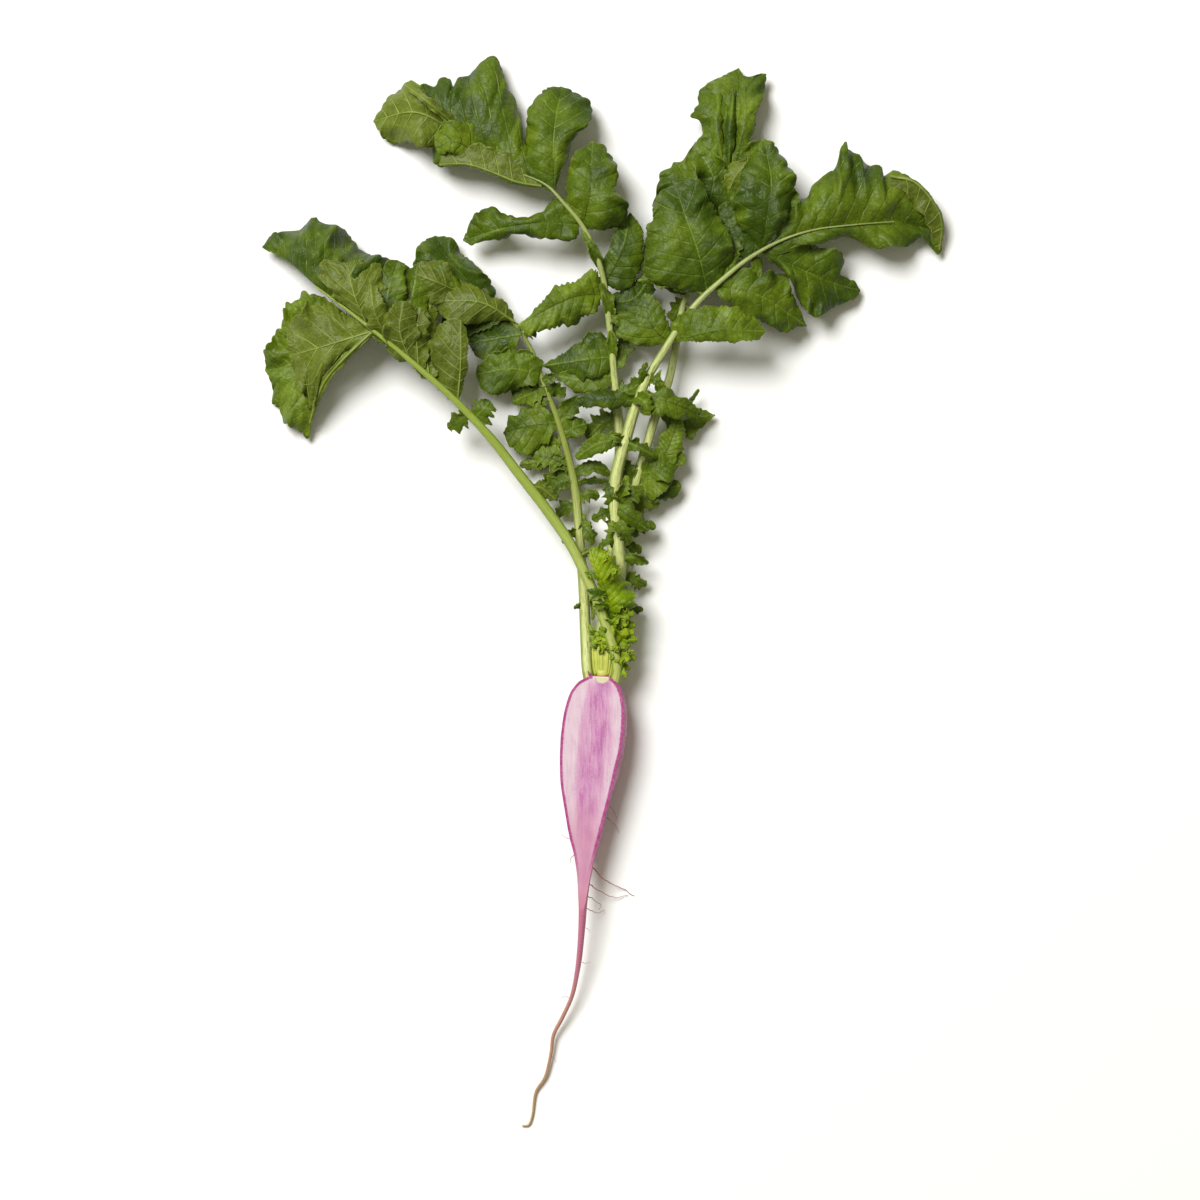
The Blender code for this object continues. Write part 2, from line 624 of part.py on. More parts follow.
def margin(blade, side, spine):
    """Points of one margin, one for each point of the spine."""
    shape, sign, count = blade.sides[side], 1 - 2 * side, len(spine) - 1
    if isinstance(shape, list):
        ends = [spine[0].to_2d(), *[Vector(p) for p in shape], spine[-1].to_2d()]
        edge = smooth_path(ends, count)
    else:
        edge = [spot.to_2d() + sign * shape * math.sin(math.pi * (0.06 + 0.9 * i / count)) ** 0.8 * left.to_2d()
                for i, (spot, (left, _)) in enumerate(zip(spine, directions(spine)))]
    points = []
    for i, (spot, (left, _)) in enumerate(zip(spine, directions(spine))):
        out = (edge[i] - spot.to_2d()).to_3d()
        least = BASE_HALF_WIDTH if i == 0 else SMALLEST_HALF_WIDTH
        if out.length < least or i in (0, count):
            out = sign * least * left
        notch = blade.tooth if i % 2 == 0 and 0 < i < count else 0
        points.append(out * (1 - notch))
    return points


def blade_surface(blade, stalk_path):
    """The blade's middle surface as rows of points, from its base to its tip."""
    base = Vector((*blade.spine[0], 0))
    nearest = min(stalk_path, key=lambda p: (p.to_2d() - base.to_2d()).length)
    spine = smooth_path([Vector((base.x, base.y, nearest.z)), *blade.spine[1:]], blade.rows)
    margins = [margin(blade, side, spine) for side in (0, 1)]
    surface = []
    for i, spot in enumerate(spine):
        u = i / blade.rows
        row = []
        for k in range(blade.strips + 1):
            v = 1 - 2 * k / blade.strips
            side = 0 if v > 0 else 1
            share = abs(v)
            rise = blade.lift[side] * share**2 + blade.arch[side] * 4 * share * (1 - share)
            rise += blade.ruffle * share * share * math.sin(math.tau * (2.5 * u + 0.3 * side))
            row.append(spot + share * margins[side][i] + math.sin(math.pi * u) * rise * UP)
        surface.append(row)
    return surface


def blade_solid(blade, stalk_path):
    """A thin closed solid about the blade's surface, split into triangles alike on both faces."""
    surface = blade_surface(blade, stalk_path)
    rows, columns = len(surface), len(surface[0])
    upper, lower = [], []
    for i in range(rows):
        for k in range(columns):
            along = surface[min(i + 1, rows - 1)][k] - surface[max(i - 1, 0)][k]
            over = surface[i][max(k - 1, 0)] - surface[i][min(k + 1, columns - 1)]
            normal = along.cross(over).normalized()
            v = abs(1 - 2 * k / (columns - 1))
            half = RIB_HALF_THICK + (MARGIN_HALF_THICK - RIB_HALF_THICK) * v
            middle = surface[i][k]
            middle.z = max(middle.z, half)
            upper.append(middle + half * normal)
            lower.append(middle - half * normal)
    points, shift, faces = upper + lower, len(upper), []
    for i in range(rows - 1):
        for k in range(columns - 1):
            a = i * columns + k
            b, c, d = a + 1, a + columns + 1, a + columns
            for one in ((a, b, c), (a, c, d)):
                faces += [one, tuple(p + shift for p in reversed(one))]
    rim = [k for k in range(columns)]
    rim += [i * columns + columns - 1 for i in range(1, rows)]
    rim += [(rows - 1) * columns + k for k in range(columns - 2, -1, -1)]
    rim += [i * columns for i in range(rows - 2, 0, -1)]
    for a, b in zip(rim, rim[1:] + rim[:1]):
        faces += [(b, a, a + shift), (b, a + shift, b + shift)]
    return points, faces


def stalk_rings(leaf):
    """Enough rings for the stalk's bends: one for about every 16 mm."""
    corners = [Vector(s).to_3d() for s in leaf.stalk]
    length = sum((b - a).length for a, b in zip(corners, corners[1:]))
    return max(6, round(length / 16))


def join(body, pieces):
    """Fuses the pieces into the body by one Boolean union, and removes them."""
    gathered = bpy.data.collections.new(body.name + "_pieces")
    bpy.context.scene.collection.children.link(gathered)
    for piece in pieces:
        bpy.context.scene.collection.objects.unlink(piece)
        gathered.objects.link(piece)
    union = body.modifiers.new("fuse", "BOOLEAN")
    union.operation = "UNION"
    union.operand_type = "COLLECTION"
    union.collection = gathered
    union.solver = "MANIFOLD"
    apply_modifiers(body)
    for piece in list(gathered.objects):
        bpy.data.objects.remove(piece)
    bpy.data.collections.remove(gathered)


def cut_clear(body, cutter):
    """Takes the cutter's space out of the body."""
    cut = body.modifiers.new("clear", "BOOLEAN")
    cut.operation = "DIFFERENCE"
    cut.object = cutter
    cut.solver = "MANIFOLD"
    apply_modifiers(body)


def apply_modifiers(body):
    graph = bpy.context.evaluated_depsgraph_get()
    applied = bpy.data.meshes.new_from_object(body.evaluated_get(graph))
    body.modifiers.clear()
    body.data = applied


def blades_of(leaf, finish):
    path = smooth_path(leaf.stalk, 4 * stalk_rings(leaf))
    made = []
    for number, blade in enumerate(leaf.blades):
        points, faces = blade_solid(blade, path)
        made.append(make_object(f"blade_{number}", points, faces, finish))
    return made


def build_leaf(name, leaf, cutter):
    stalk = make_object(name, *tube(leaf.stalk, STALK_SIDES, stalk_rings(leaf)), "leaf_green")
    join(stalk, blades_of(leaf, "leaf_green"))
    cut_clear(stalk, cutter)


def crown_heart(cutter):
    """The crown's collar, the stumps of cut stalks on it, and the young leaf."""
    x, z = CROWN_CENTRE
    low, high = CROWN_BASE
    collar = make_object(
        "crown_heart",
        *tube([(x, low, z, CROWN_RADIUS), (x, high, z, CROWN_RADIUS * 0.82)], 10, 2),
        "young_green",
    )
    pieces = [make_object("stalk", *tube(YOUNG_LEAF.stalk, 6, 8), "young_green")]
    pieces += blades_of(YOUNG_LEAF, "young_green")
    thick, thin = STUMP_RADIUS
    for k in range(STUMPS):
        share = 2 * k / (STUMPS - 1) - 1
        height = z + 2.4 - 1.2 * share**2
        base = (x + 3.0 * share, low + 1.5, height, thick)
        top = (x + 3.6 * share, STUMP_TOP - 3 * share**2, height, thin)
        pieces.append(make_object(f"stump_{k}", *tube([base, top], 5, 1), "young_green"))
    join(collar, pieces)
    cut_clear(collar, cutter)


def build():
    clear_scene()
    radish_root()
    cutter = radish_root("root_clearance", NODE_GAP)
    cutter.hide_render = True
    cutter.display_type = "WIRE"
    for name, leaf in LEAVES.items():
        build_leaf(name, leaf, cutter)
    crown_heart(cutter)


build()
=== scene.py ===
import math
from dataclasses import dataclass

import bpy
import numpy as np
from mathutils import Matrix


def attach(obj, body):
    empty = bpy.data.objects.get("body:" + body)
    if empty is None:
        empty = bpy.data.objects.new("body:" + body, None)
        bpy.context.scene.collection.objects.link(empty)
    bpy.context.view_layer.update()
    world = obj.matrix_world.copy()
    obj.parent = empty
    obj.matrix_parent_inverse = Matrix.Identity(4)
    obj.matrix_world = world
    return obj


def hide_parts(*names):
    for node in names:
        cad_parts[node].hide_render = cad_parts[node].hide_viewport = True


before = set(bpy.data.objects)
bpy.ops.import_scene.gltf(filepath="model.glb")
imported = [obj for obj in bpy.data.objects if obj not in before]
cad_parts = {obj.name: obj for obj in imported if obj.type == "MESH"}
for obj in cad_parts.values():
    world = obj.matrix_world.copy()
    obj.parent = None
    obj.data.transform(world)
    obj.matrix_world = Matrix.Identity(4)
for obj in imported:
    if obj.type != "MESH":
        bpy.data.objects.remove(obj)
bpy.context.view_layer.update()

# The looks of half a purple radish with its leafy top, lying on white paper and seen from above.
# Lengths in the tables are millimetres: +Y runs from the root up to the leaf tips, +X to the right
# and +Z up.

MM = 0.001
TAU = math.tau
UP = np.array((0.0, 0.0, 1.0))

# Camera and light, in metres and watts: a window at the upper left, a weak ceiling and warm air.
# Each light has its place, width, power and colour. The paper's half width is in millimetres.
CAMERA_PLACE = (0.0033, 0.07975, 2.495)
CAMERA_LENS = 135
LIGHT_AIM = (0, 0.05, 0)
WINDOW = ((-1.9, 2.4, 4.1), 2.7, 342, (1.0, 1.0, 1.0))
CEILING = ((0.5, 0.3, 4.4), 4.0, 14, (1.0, 0.98, 0.86))
AIR_COLOUR = (1.0, 0.95, 0.66, 1)
AIR_STRENGTH = 0.175
PAPER_HALF = 8000

# Root: rings of points round its axis, and the knife's plane. Where the plane passes higher than a
# share of a ring's radius, the ring stays whole, with its top between two angles.
ROOT_RINGS = 230
SKIN_SIDES = 64
FACE_SIDES = 26
CUT_HEIGHT = 21.7
CUT_ROLL = math.radians(12)
WHOLE_RING = 0.97
WHOLE_RING_TOP = (math.radians(60), math.radians(120))
PITH_PLACE = (4.5, 37.2)
FAR_FROM_RIM = 9.0  # stands for any point off the cut face
ROOTLET_SCALE = 1.25

# Stalks. Some rise above their blades towards the tip, by so many radii from a share of their
# length on, and the others sink.
STALK_SIDES = 26
STALK_STEP = 2.2
STALK_RISE = {"left_leaf": 1.7, "upper_left_leaf": 2.2, "upper_right_leaf": 1.9}
RISE_FROM = 0.5
STALK_SINK = -1.2
SINK_FROM = 0.6
STREAK_STRETCH = 26  # millimetres along a stalk that its streaks take as one radius

# Blades
MOST_ROWS = 92  # of points along a blade
MOST_COLUMNS = 24  # of points from the midrib to a margin
CROWDING = 1.2  # the power that crowds the columns to the midrib
VEIN_SLANT = 0.62  # how far a side vein climbs for each millimetre outwards
LEAST_WIDTH = 0.6  # of a side near the base and the tip
POINTED_FROM = 0.1  # the lobing from which teeth are pointed
BLADE_HALF = 0.2  # half a blade's thickness
RIB_HALF = 0.3  # what the midrib adds to it

# Seeds: the first leaf's, from leaf to leaf, from blade to blade, and the young leaf's
FIRST_SEED = 7
LEAF_SEED = 100
BLADE_SEED = 31
YOUNG_SEED = 907

# Colours on the screen, 0 to 255. A skin has dark, middle, light, underside, vein and vein below;
# a stalk has pale, green and deep.
LEAF_SKIN = [(57, 78, 7), (85, 106, 13), (110, 131, 27), (100, 114, 31), (124, 147, 48),
             (133, 147, 62)]
YOUNG_SKIN = [(76, 104, 4), (116, 144, 6), (154, 176, 22), (128, 146, 30), (150, 172, 40),
              (166, 182, 64)]
GREEN_STALK = [(180, 188, 104), (134, 154, 52), (104, 128, 30)]
OLIVE_STALK = [(196, 202, 128), (124, 138, 48), (104, 128, 30)]
PALE_STALK = [(196, 202, 128), (142, 156, 84), (104, 128, 30)]
YOUNG_STALK = [(196, 202, 96), (156, 168, 44), (118, 132, 20)]

# x, y, height and radius of the root's axis from crown to tail tip
ROOT_STATIONS = [
    (4, 37.6, 19.4, 6.4), (3.9, 36.2, 19.2, 8.6), (3.6, 33.6, 19, 11.5), (2.9, 29.6, 18.7, 14),
    (2, 24.5, 17.6, 16.1), (1.3, 18, 16.9, 17.4), (0.3, 10, 16.9, 17.9), (-0.8, 0, 16.9, 17.8),
    (-2.1, -10, 16.3, 16.9), (-3.3, -20, 17.2, 15.4), (-4, -30, 18.2, 13.3), (-4.6, -40, 18.8, 11),
    (-4.9, -50, 19.1, 8.8), (-5, -60, 19.2, 6.2), (-5.4, -70, 19.3, 4.2), (-5.9, -80, 19.1, 3),
    (-6.4, -95, 17.6, 2.1), (-7.6, -112, 14.4, 1.7), (-9.2, -125, 11.6, 1.4),
    (-12.2, -139, 8.6, 1.2), (-17.4, -151, 6.2, 1.1), (-22.4, -161, 4.5, 1),
    (-23.8, -171, 3.4, 0.9), (-26.9, -184, 2.3, 0.8), (-32.3, -193, 1.6, 0.7),
    (-34, -205, 1.1, 0.7), (-36, -211, 0.9, 0.65), (-39.6, -211.8, 0.8, 0.55),
]

# Fine roots: x, y, z points and the radius at their start
ROOTLETS = [
    ([(-1.5, -67, 16), (7.3, -76, 8), (13, -79, 3), (18.3, -81.5, 1), (22, -84, 0.6)], 0.34),
    ([(-3, -76, 15), (4, -82, 7), (13.5, -85, 2), (19, -84, 0.7)], 0.26),
    ([(-3.6, -83, 15), (0.5, -86.5, 9), (3.5, -89.5, 5), (3, -91.5, 3)], 0.22),
    ([(-4, -90, 14), (-1, -92, 9), (2, -93, 5), (6, -92, 2)], 0.2),
    ([(7, -32, 14), (9.5, -34.5, 9), (11.4, -37, 5), (12, -41, 2)], 0.2),
    ([(5.5, -39, 14), (8.5, -42, 8), (12, -45, 3), (13.5, -49, 1)], 0.16),
    ([(-12.8, -52, 14), (-15.5, -51.5, 12), (-18, -49.5, 9)], 0.14),
    ([(-10.2, -60.5, 15), (-12.8, -63, 10), (-13, -65.5, 6)], 0.2),
    ([(-8.4, -119.5, 11), (-5, -121, 9), (-1.6, -120.5, 7)], 0.14),
    ([(-7.2, -100, 15), (-4, -101.5, 12), (-2, -104, 9)], 0.12),
    ([(-13.5, -140, 8), (-16.5, -139.5, 7), (-19, -141, 5)], 0.12),
    ([(-24.5, -172, 3), (-22, -174.5, 2), (-21, -177, 1)], 0.1),
]


@dataclass
class Blade:
    """One lobe or leaflet, from its base on the stalk to its tip.

    sides: left and right as seen from its base, each a half width or margin points (x, y)
    lift, arch: how far the margin and the middle of each side stand above the spine
    ruffle, pucker: the height of the waves and of the bulges between side veins
    tooth, tooth_length, lobing: the teeth's depth and length, and how deep the margin is lobed
    step, vein_gap: the distance between rows of points and between side veins
    tone: lighter above 0 and darker below
    turned: whether the paler underside shows on top; None follows the leaf
    """

    spine: list
    sides: tuple
    lift: tuple = (0, 0)
    arch: tuple = (0, 0)
    ruffle: float = 1.7
    tooth: float = 1.1
    tooth_length: float = 4.2
    lobing: float = 0.13
    step: float = 0.85
    vein_gap: float = 6.0
    pucker: float = 0.5
    tone: float = 0.0
    turned: bool = None


@dataclass
class Leaf:
    """A leaf: its stalk as x, y, z and radius, and its blades."""

    stalk: list
    blades: list
    turned: bool = False


LOBE_LOOKS = {"ruffle": 3.0, "tooth": 1.5, "tooth_length": 6.2, "lobing": 0.03, "step": 1.25,
              "vein_gap": 9.0, "pucker": 0.8}
FRILL_LOOKS = {"ruffle": 1.6, "tooth": 1.4, "tooth_length": 2.8, "lobing": 0.4, "step": 0.6,
               "vein_gap": 3.6, "pucker": 0.4, "tone": 0.25}


def lobe(spine, left, right, **looks):
    """A large lobe, with deep waves and puckers."""
    return Blade(spine, (left, right), **{**LOBE_LOOKS, **looks})


def leaflet(spine, left, right=None, **looks):
    """A side leaflet, as wide on the right as on the left where nothing else is said."""
    return Blade(spine, (left, right or left), **looks)


def frill(spine, left, right=None, **looks):
    """A small toothed leaflet low on the stalk."""
    return leaflet(spine, left, right, **{**FRILL_LOOKS, **looks})


LEFT_LEAF = Leaf(turned=True, stalk=[
    (11, 33, 20.4, 2.5), (12.6, 40, 21.6, 2.6), (12.2, 48, 23, 2.5), (9.2, 58, 24.6, 2.4),
    (4, 73, 26.8, 2.4), (-3, 90, 27.2, 2.5), (-12.7, 110, 26.8, 2.5), (-26.5, 130, 26.2, 2.5),
    (-42, 150, 26.2, 2.4), (-57, 169, 26.6, 2.3), (-76, 189, 27.2, 2.1), (-99, 209.5, 28.5, 1.9),
    (-118, 225, 30, 1.6), (-137, 240, 29, 1.2), (-153, 252, 26, 0.8),
], blades=[
    lobe([(-112, 220), (-137, 240, 29), (-153, 253, 26), (-168, 266, 17), (-183, 275, 8)],
         [(-148, 249), (-158, 259), (-171, 269)],
         [(-103, 243), (-101, 262), (-110, 267), (-121, 270), (-131, 276), (-140, 284), (-150, 288),
          (-156, 290), (-163, 285), (-177, 282)], lift=(-2, -14), arch=(0, 7), tone=-0.25,
         turned=False, ruffle=4.6, vein_gap=5.5, pucker=1.4),
    leaflet([(-124, 230), (-131, 247, 37), (-135, 264, 33)],
            [(-136, 240), (-147, 251), (-152, 262), (-143, 266)],
            [(-118, 240), (-114, 256), (-122, 266)], lift=(-2, -3)),
    lobe([(-121, 227), (-145, 220, 24), (-168, 214, 15)],
         [(-130, 218), (-140, 211), (-150, 198), (-156, 183), (-161, 196), (-165, 204)],
         [(-138, 238), (-150, 248), (-156, 248), (-160, 240), (-168, 232), (-169, 223)],
         lift=(-7, -3), arch=(2, 1), tone=-0.2, vein_gap=11),
    lobe([(-119, 226), (-150, 214, 14), (-182, 207, 0.5)],
         [(-130, 217), (-142, 208), (-150, 197), (-156, 180), (-158, 170), (-166, 173), (-173, 182),
          (-178, 190), (-178, 198)],
         [(-136, 236), (-150, 246), (-160, 248), (-170, 241), (-175, 229), (-181, 222),
          (-182, 215)], lift=(-4, 0), arch=(1, 0), turned=False, tone=0.3, pucker=1.2, vein_gap=7,
         tooth=2.4, tooth_length=5),
    leaflet([(-121, 227), (-137, 212, 28.5), (-149, 198, 21), (-157, 177, 13)], 2, 1.6, tone=-1.6,
            lobing=0.02, ruffle=0.8, vein_gap=40),
    leaflet([(-112, 220), (-113, 245, 34), (-108, 266, 27)], 11, lift=(-3, -4), turned=False,
            ruffle=2.6),
    leaflet([(-114, 224), (-120, 238, 38), (-122, 252, 36)], 6, 7, tone=-0.3, ruffle=2.4),
    leaflet([(-101, 211), (-106, 227, 37), (-104, 243, 37)], 9, 11, lift=(2, -3), tone=0.4,
            ruffle=2.6),
    leaflet([(-106, 215), (-101, 238, 30), (-97, 262, 24)], 10, lift=(-2, -3), turned=False,
            ruffle=2.6),
    leaflet([(-96, 206), (-97, 226, 33), (-95, 240, 31)], 6, 7, tone=0.3, ruffle=2.4),
    leaflet([(-90, 201), (-93, 222, 28), (-90, 242, 24)], 8, lift=(-2, -2), tone=-0.3, ruffle=2.4),
    leaflet([(-82, 194), (-82, 210, 24), (-80, 226, 21)], 6, turned=False, tone=-0.4),
    leaflet([(-75, 188), (-73, 210, 33), (-73, 233, 31)],
            [(-80, 190), (-87, 201), (-88, 218), (-86, 228), (-80, 233)],
            [(-71, 200), (-69, 215), (-70, 228)], lift=(-4, -2), arch=(2, 0), tone=0.7, lobing=0.04,
            ruffle=2.4),
    frill([(-69, 182), (-74, 178, 25), (-80, 174, 21)], 5, turned=False),
    frill([(-66, 179), (-61, 184, 30), (-57, 189, 29)], 6, 7, turned=False),
    frill([(-36, 142), (-29, 141, 25), (-21, 135, 22)], 3, 4),
    frill([(-9, 103), (-4, 106, 26), (0, 108, 25)], 2),
    frill([(-1, 84), (0, 77, 24), (-1, 69, 22)], 1.6),
])

INNER_LEFT_LEAF = Leaf(stalk=[
    (-1.5, 31, 16, 2.8), (-3.6, 42, 15, 2.7), (-4.3, 55, 12.8, 2.7), (-5, 70, 11.6, 2.6),
    (-6, 90, 11, 2.4), (-8, 115, 11, 2.2), (-10.2, 140, 12, 2.1), (-15, 162, 13.5, 1.9),
    (-21, 182, 15, 1.7), (-27, 197, 16.5, 1.5), (-32, 212, 17.5, 1.4), (-38, 224, 18.5, 1.4),
    (-46, 234, 19, 1.4), (-58, 241, 19, 1.1), (-70, 249, 18, 0.8),
], blades=[
    lobe([(-58, 241), (-70, 256, 17), (-80, 268, 12), (-88, 281, 5)],
         [(-68, 246), (-84, 250), (-97, 257), (-100, 265), (-97, 275), (-93, 279)],
         [(-54, 250), (-57, 256), (-61, 260), (-66, 264), (-72, 271), (-79, 279)], lift=(-3, -3),
         arch=(2, 2), tone=-0.2),
    leaflet([(-72, 248), (-86, 254, 27), (-98, 259, 25)], [(-80, 244), (-92, 242), (-99, 248)],
            [(-77, 256), (-80, 265), (-88, 266), (-96, 265)], lift=(-2, -2), tone=0.6, turned=True,
            lobing=0.04, ruffle=2),
    leaflet([(-66, 246), (-84, 256, 24), (-100, 257, 20)], [(-78, 247), (-90, 246), (-98, 248)],
            [(-76, 258), (-82, 265), (-92, 267), (-99, 264)], lift=(-2, -3)),
    leaflet([(-44, 233), (-62, 243, 26), (-87, 244, 22)],
            [(-52, 234), (-63, 232), (-76, 232), (-85, 236)],
            [(-46, 241), (-52, 245), (-58, 248), (-66, 253), (-75, 255), (-83, 249)], lift=(-3, -4),
            arch=(1, 1), turned=True, tone=0.2, lobing=0.04, ruffle=2),
    leaflet([(-40, 226), (-54, 224, 15), (-69, 221, 12)], [(-45, 215), (-56, 211), (-65, 214)],
            [(-42, 232), (-52, 235), (-62, 234), (-70, 228)], tone=-0.3),
    leaflet([(-52, 238), (-66, 236, 13), (-84, 232, 10)], 9, 8, tone=-0.5),
    leaflet([(-33, 213), (-46, 213, 17), (-60, 212, 14)], 6, 5, tone=-0.4),
    leaflet([(-20, 179), (-13, 186, 15), (-9, 192, 12)], 5),
    leaflet([(-24, 190), (-36, 195, 12), (-46, 196, 8)], 6, tone=-0.5),
    frill([(-13, 153), (-24, 158, 13), (-34, 160, 10)], 6, tone=0.2),
    frill([(-11, 147), (-20, 143, 13), (-27, 137, 10)], 6),
    frill([(-9, 135), (-3, 138, 14), (3, 137, 12)], 3.5, tone=0.3),
    frill([(-8, 122), (-3, 117, 14), (-1, 110, 13)], 3.5),
    frill([(-8, 118), (-13, 116, 12), (-17, 111, 10)], 3),
    leaflet([(-30, 204), (-46, 207, 20), (-65, 204, 15)],
            [(-32, 198), (-40, 197), (-53, 193), (-62, 196)],
            [(-28, 211), (-37, 215), (-46, 217), (-57, 214), (-64, 209)], lift=(-3, -2),
            lobing=0.05),
    frill([(-38, 225), (-34, 228, 18), (-30, 231, 15)], 3),
    frill([(-28, 200), (-25, 202, 17.5), (-21, 203, 17.5)], 3),
    frill([(-27, 196), (-36, 193, 13), (-45, 189, 9)], 6, 4),
    frill([(-26, 195), (-21, 196, 14), (-16, 192, 12)], 4),
    leaflet([(-19, 177), (-34, 176, 14), (-50, 172, 10)], [(-27, 165), (-38, 159), (-46, 164)],
            [(-26, 186), (-36, 187), (-46, 181)], lift=(-2, -2)),
    frill([(-17, 168), (-27, 164, 10), (-35, 160, 8)], 4),
    leaflet([(-17, 171), (-11, 175, 14), (-4, 177, 12)], 6),
    frill([(-12, 149), (-22, 147, 10), (-30, 141, 7)], 5),
    frill([(-14, 157), (-27, 156, 11), (-41, 154, 8)], 4),
    leaflet([(-11, 149), (0, 153, 13), (9, 149, 11)], 4, 3.5, lift=(-1, -1)),
    frill([(-10, 144), (0, 146, 9), (8, 145, 7)], 1.6),
    frill([(-9, 130), (-15, 131, 9), (-21, 126, 7)], 4),
    frill([(-8, 127), (-5, 121, 12), (-4, 114, 11)], 3, 3.5),
    frill([(-5.5, 77), (-8, 77, 13), (-11, 75, 12)], 1.3),
])

UPPER_LEFT_LEAF = Leaf(stalk=[
    (1.8, 31, 12.6, 2.7), (0.8, 42, 9.8, 2.7), (2.5, 55, 6.8, 2.7), (6, 75, 5.6, 2.6),
    (9, 100, 5.5, 2.5), (11.5, 125, 6, 2.4), (13.5, 150, 7, 2.3), (14, 172, 8.5, 2.2),
    (12.5, 190, 10.5, 2.1), (11, 205, 12.5, 2), (9.5, 222, 15, 1.9), (7.5, 240, 17, 1.8),
    (5, 257, 19, 1.7), (0, 273, 21, 1.6), (-7, 286, 22.5, 1.5), (-17, 298, 23.5, 1.3),
    (-27, 308, 24, 0.8), (-45, 316, 22, 0.5), (-65, 326, 18, 0.4), (-82, 338, 14, 0.3),
], blades=[
    lobe([(-27, 308), (-45, 316, 22), (-65, 326, 18), (-84, 339, 14), (-101, 354, 8)],
         [(-36, 309), (-50, 315), (-64, 320), (-86, 319), (-89, 329), (-98, 340)],
         [(-34, 324), (-38, 332), (-40, 340), (-42, 350), (-45, 358), (-48, 365), (-52, 375),
          (-57, 379.5), (-64, 376), (-70, 370), (-75, 369), (-78, 362), (-80, 368), (-85, 368),
          (-88, 363), (-93, 365), (-98, 361)], lift=(-3, -9), arch=(1, 5), tone=-0.1, tooth=1,
         ruffle=1.5, pucker=0.45),
    lobe([(-76, 338), (-98, 348, 20), (-122, 345, 1.5)], [(-88, 329), (-102, 331), (-116, 335)],
         [(-84, 352), (-98, 364), (-104, 365), (-113, 358), (-119, 351)], lift=(-2, -4),
         arch=(1, 2), turned=True, tone=-0.4),
    leaflet([(-74, 339), (-90, 352, 27), (-104, 363, 21)], 2, 2.4, turned=True, tone=-1.6,
            lobing=0.02, vein_gap=30),
    leaflet([(-63, 325), (-76, 331, 26), (-87, 328, 23)], 7, 12, lift=(-2, -4), tone=0.6),
    leaflet([(-29, 307), (-42, 309, 25), (-57, 315, 25), (-70, 319, 24), (-85, 319, 22)], 1.4, 12,
            lift=(-2, 1), turned=True, tone=0.1, vein_gap=8, lobing=0.04),
    leaflet([(4, 261), (1, 269, 25), (-6, 282, 26)], 2.6, lobing=0.02, tone=0.1, vein_gap=40),
    leaflet([(10, 234), (8, 243, 22), (4, 254, 23)], 2.9, lobing=0.02, tone=0.1, vein_gap=40),
    leaflet([(11, 212), (10, 220, 18.5), (9, 228, 20)], 2.6, lobing=0.05, tone=0.2, vein_gap=20),
    lobe([(-22, 303), (-22, 335, 25), (-18, 363, 9)],
         [(-30, 309), (-35, 319), (-38, 331), (-36, 346), (-32, 358), (-26, 362)],
         [(-17, 318), (-10, 334), (-3, 341), (-1, 348), (-4, 356), (-12, 361)], lift=(-5, -5),
         arch=(2, 2), ruffle=2.4, pucker=0.5),
    lobe([(-6, 284), (-2, 305, 29), (-1, 332, 19)],
         [(-15, 291), (-15, 303), (-14, 315), (-11, 323), (-5, 330)],
         [(5, 283), (14, 285), (19, 296), (12, 305), (13, 318), (7, 328)], lift=(-4, -4),
         arch=(1, 2)),
    lobe([(-8, 286), (-38, 286, 26), (-72, 278, 14)],
         [(-11, 277), (-24, 278), (-40, 280), (-58, 278), (-67, 275)],
         [(-20, 300), (-30, 292), (-38, 290), (-50, 292), (-58, 297), (-66, 291), (-70, 284)],
         lift=(-3, -4), arch=(1, 1)),
    leaflet([(6, 253), (15, 271, 22), (20, 293, 15)], [(4, 264), (10, 280), (16, 289)],
            [(15, 250), (24, 256), (27, 268), (28, 281), (25, 287)], lift=(-2, -3)),
    leaflet([(6, 248), (-14, 245, 25), (-42, 230, 24)],
            [(0, 237), (-10, 232), (-22, 228), (-34, 224)],
            [(0, 262), (-8, 258), (-22, 251), (-30, 242), (-38, 234)], lift=(-3, -3), arch=(1, 1),
            tone=0.6, tooth=1.7, ruffle=2.2, pucker=0.9),
    frill([(8, 237), (12, 235, 19), (16, 238, 18)], 4),
    leaflet([(10, 214), (-7, 212, 16), (-28, 209, 9)], [(6, 203), (-8, 201), (-20, 204)],
            [(8, 226), (-2, 227), (-8, 222), (-20, 215)], lift=(-3, -3)),
    frill([(11, 209), (15, 215, 11), (17, 226, 8)], 5),
    frill([(13.5, 181), (5, 178, 8), (-4, 169, 5)], 5, 6),
    leaflet([(10, 204), (-4, 201, 14), (-20, 203, 12)], 7, 6, tone=0.5),
    leaflet([(9, 226), (20, 232, 16), (28, 244, 12)], 7, 6, tone=-0.4),
    leaflet([(7, 243), (22, 246, 18), (31, 258, 13)], 7, 8, tone=-0.3),
    frill([(12, 196), (20, 196, 12), (27, 201, 10)], 5),
])

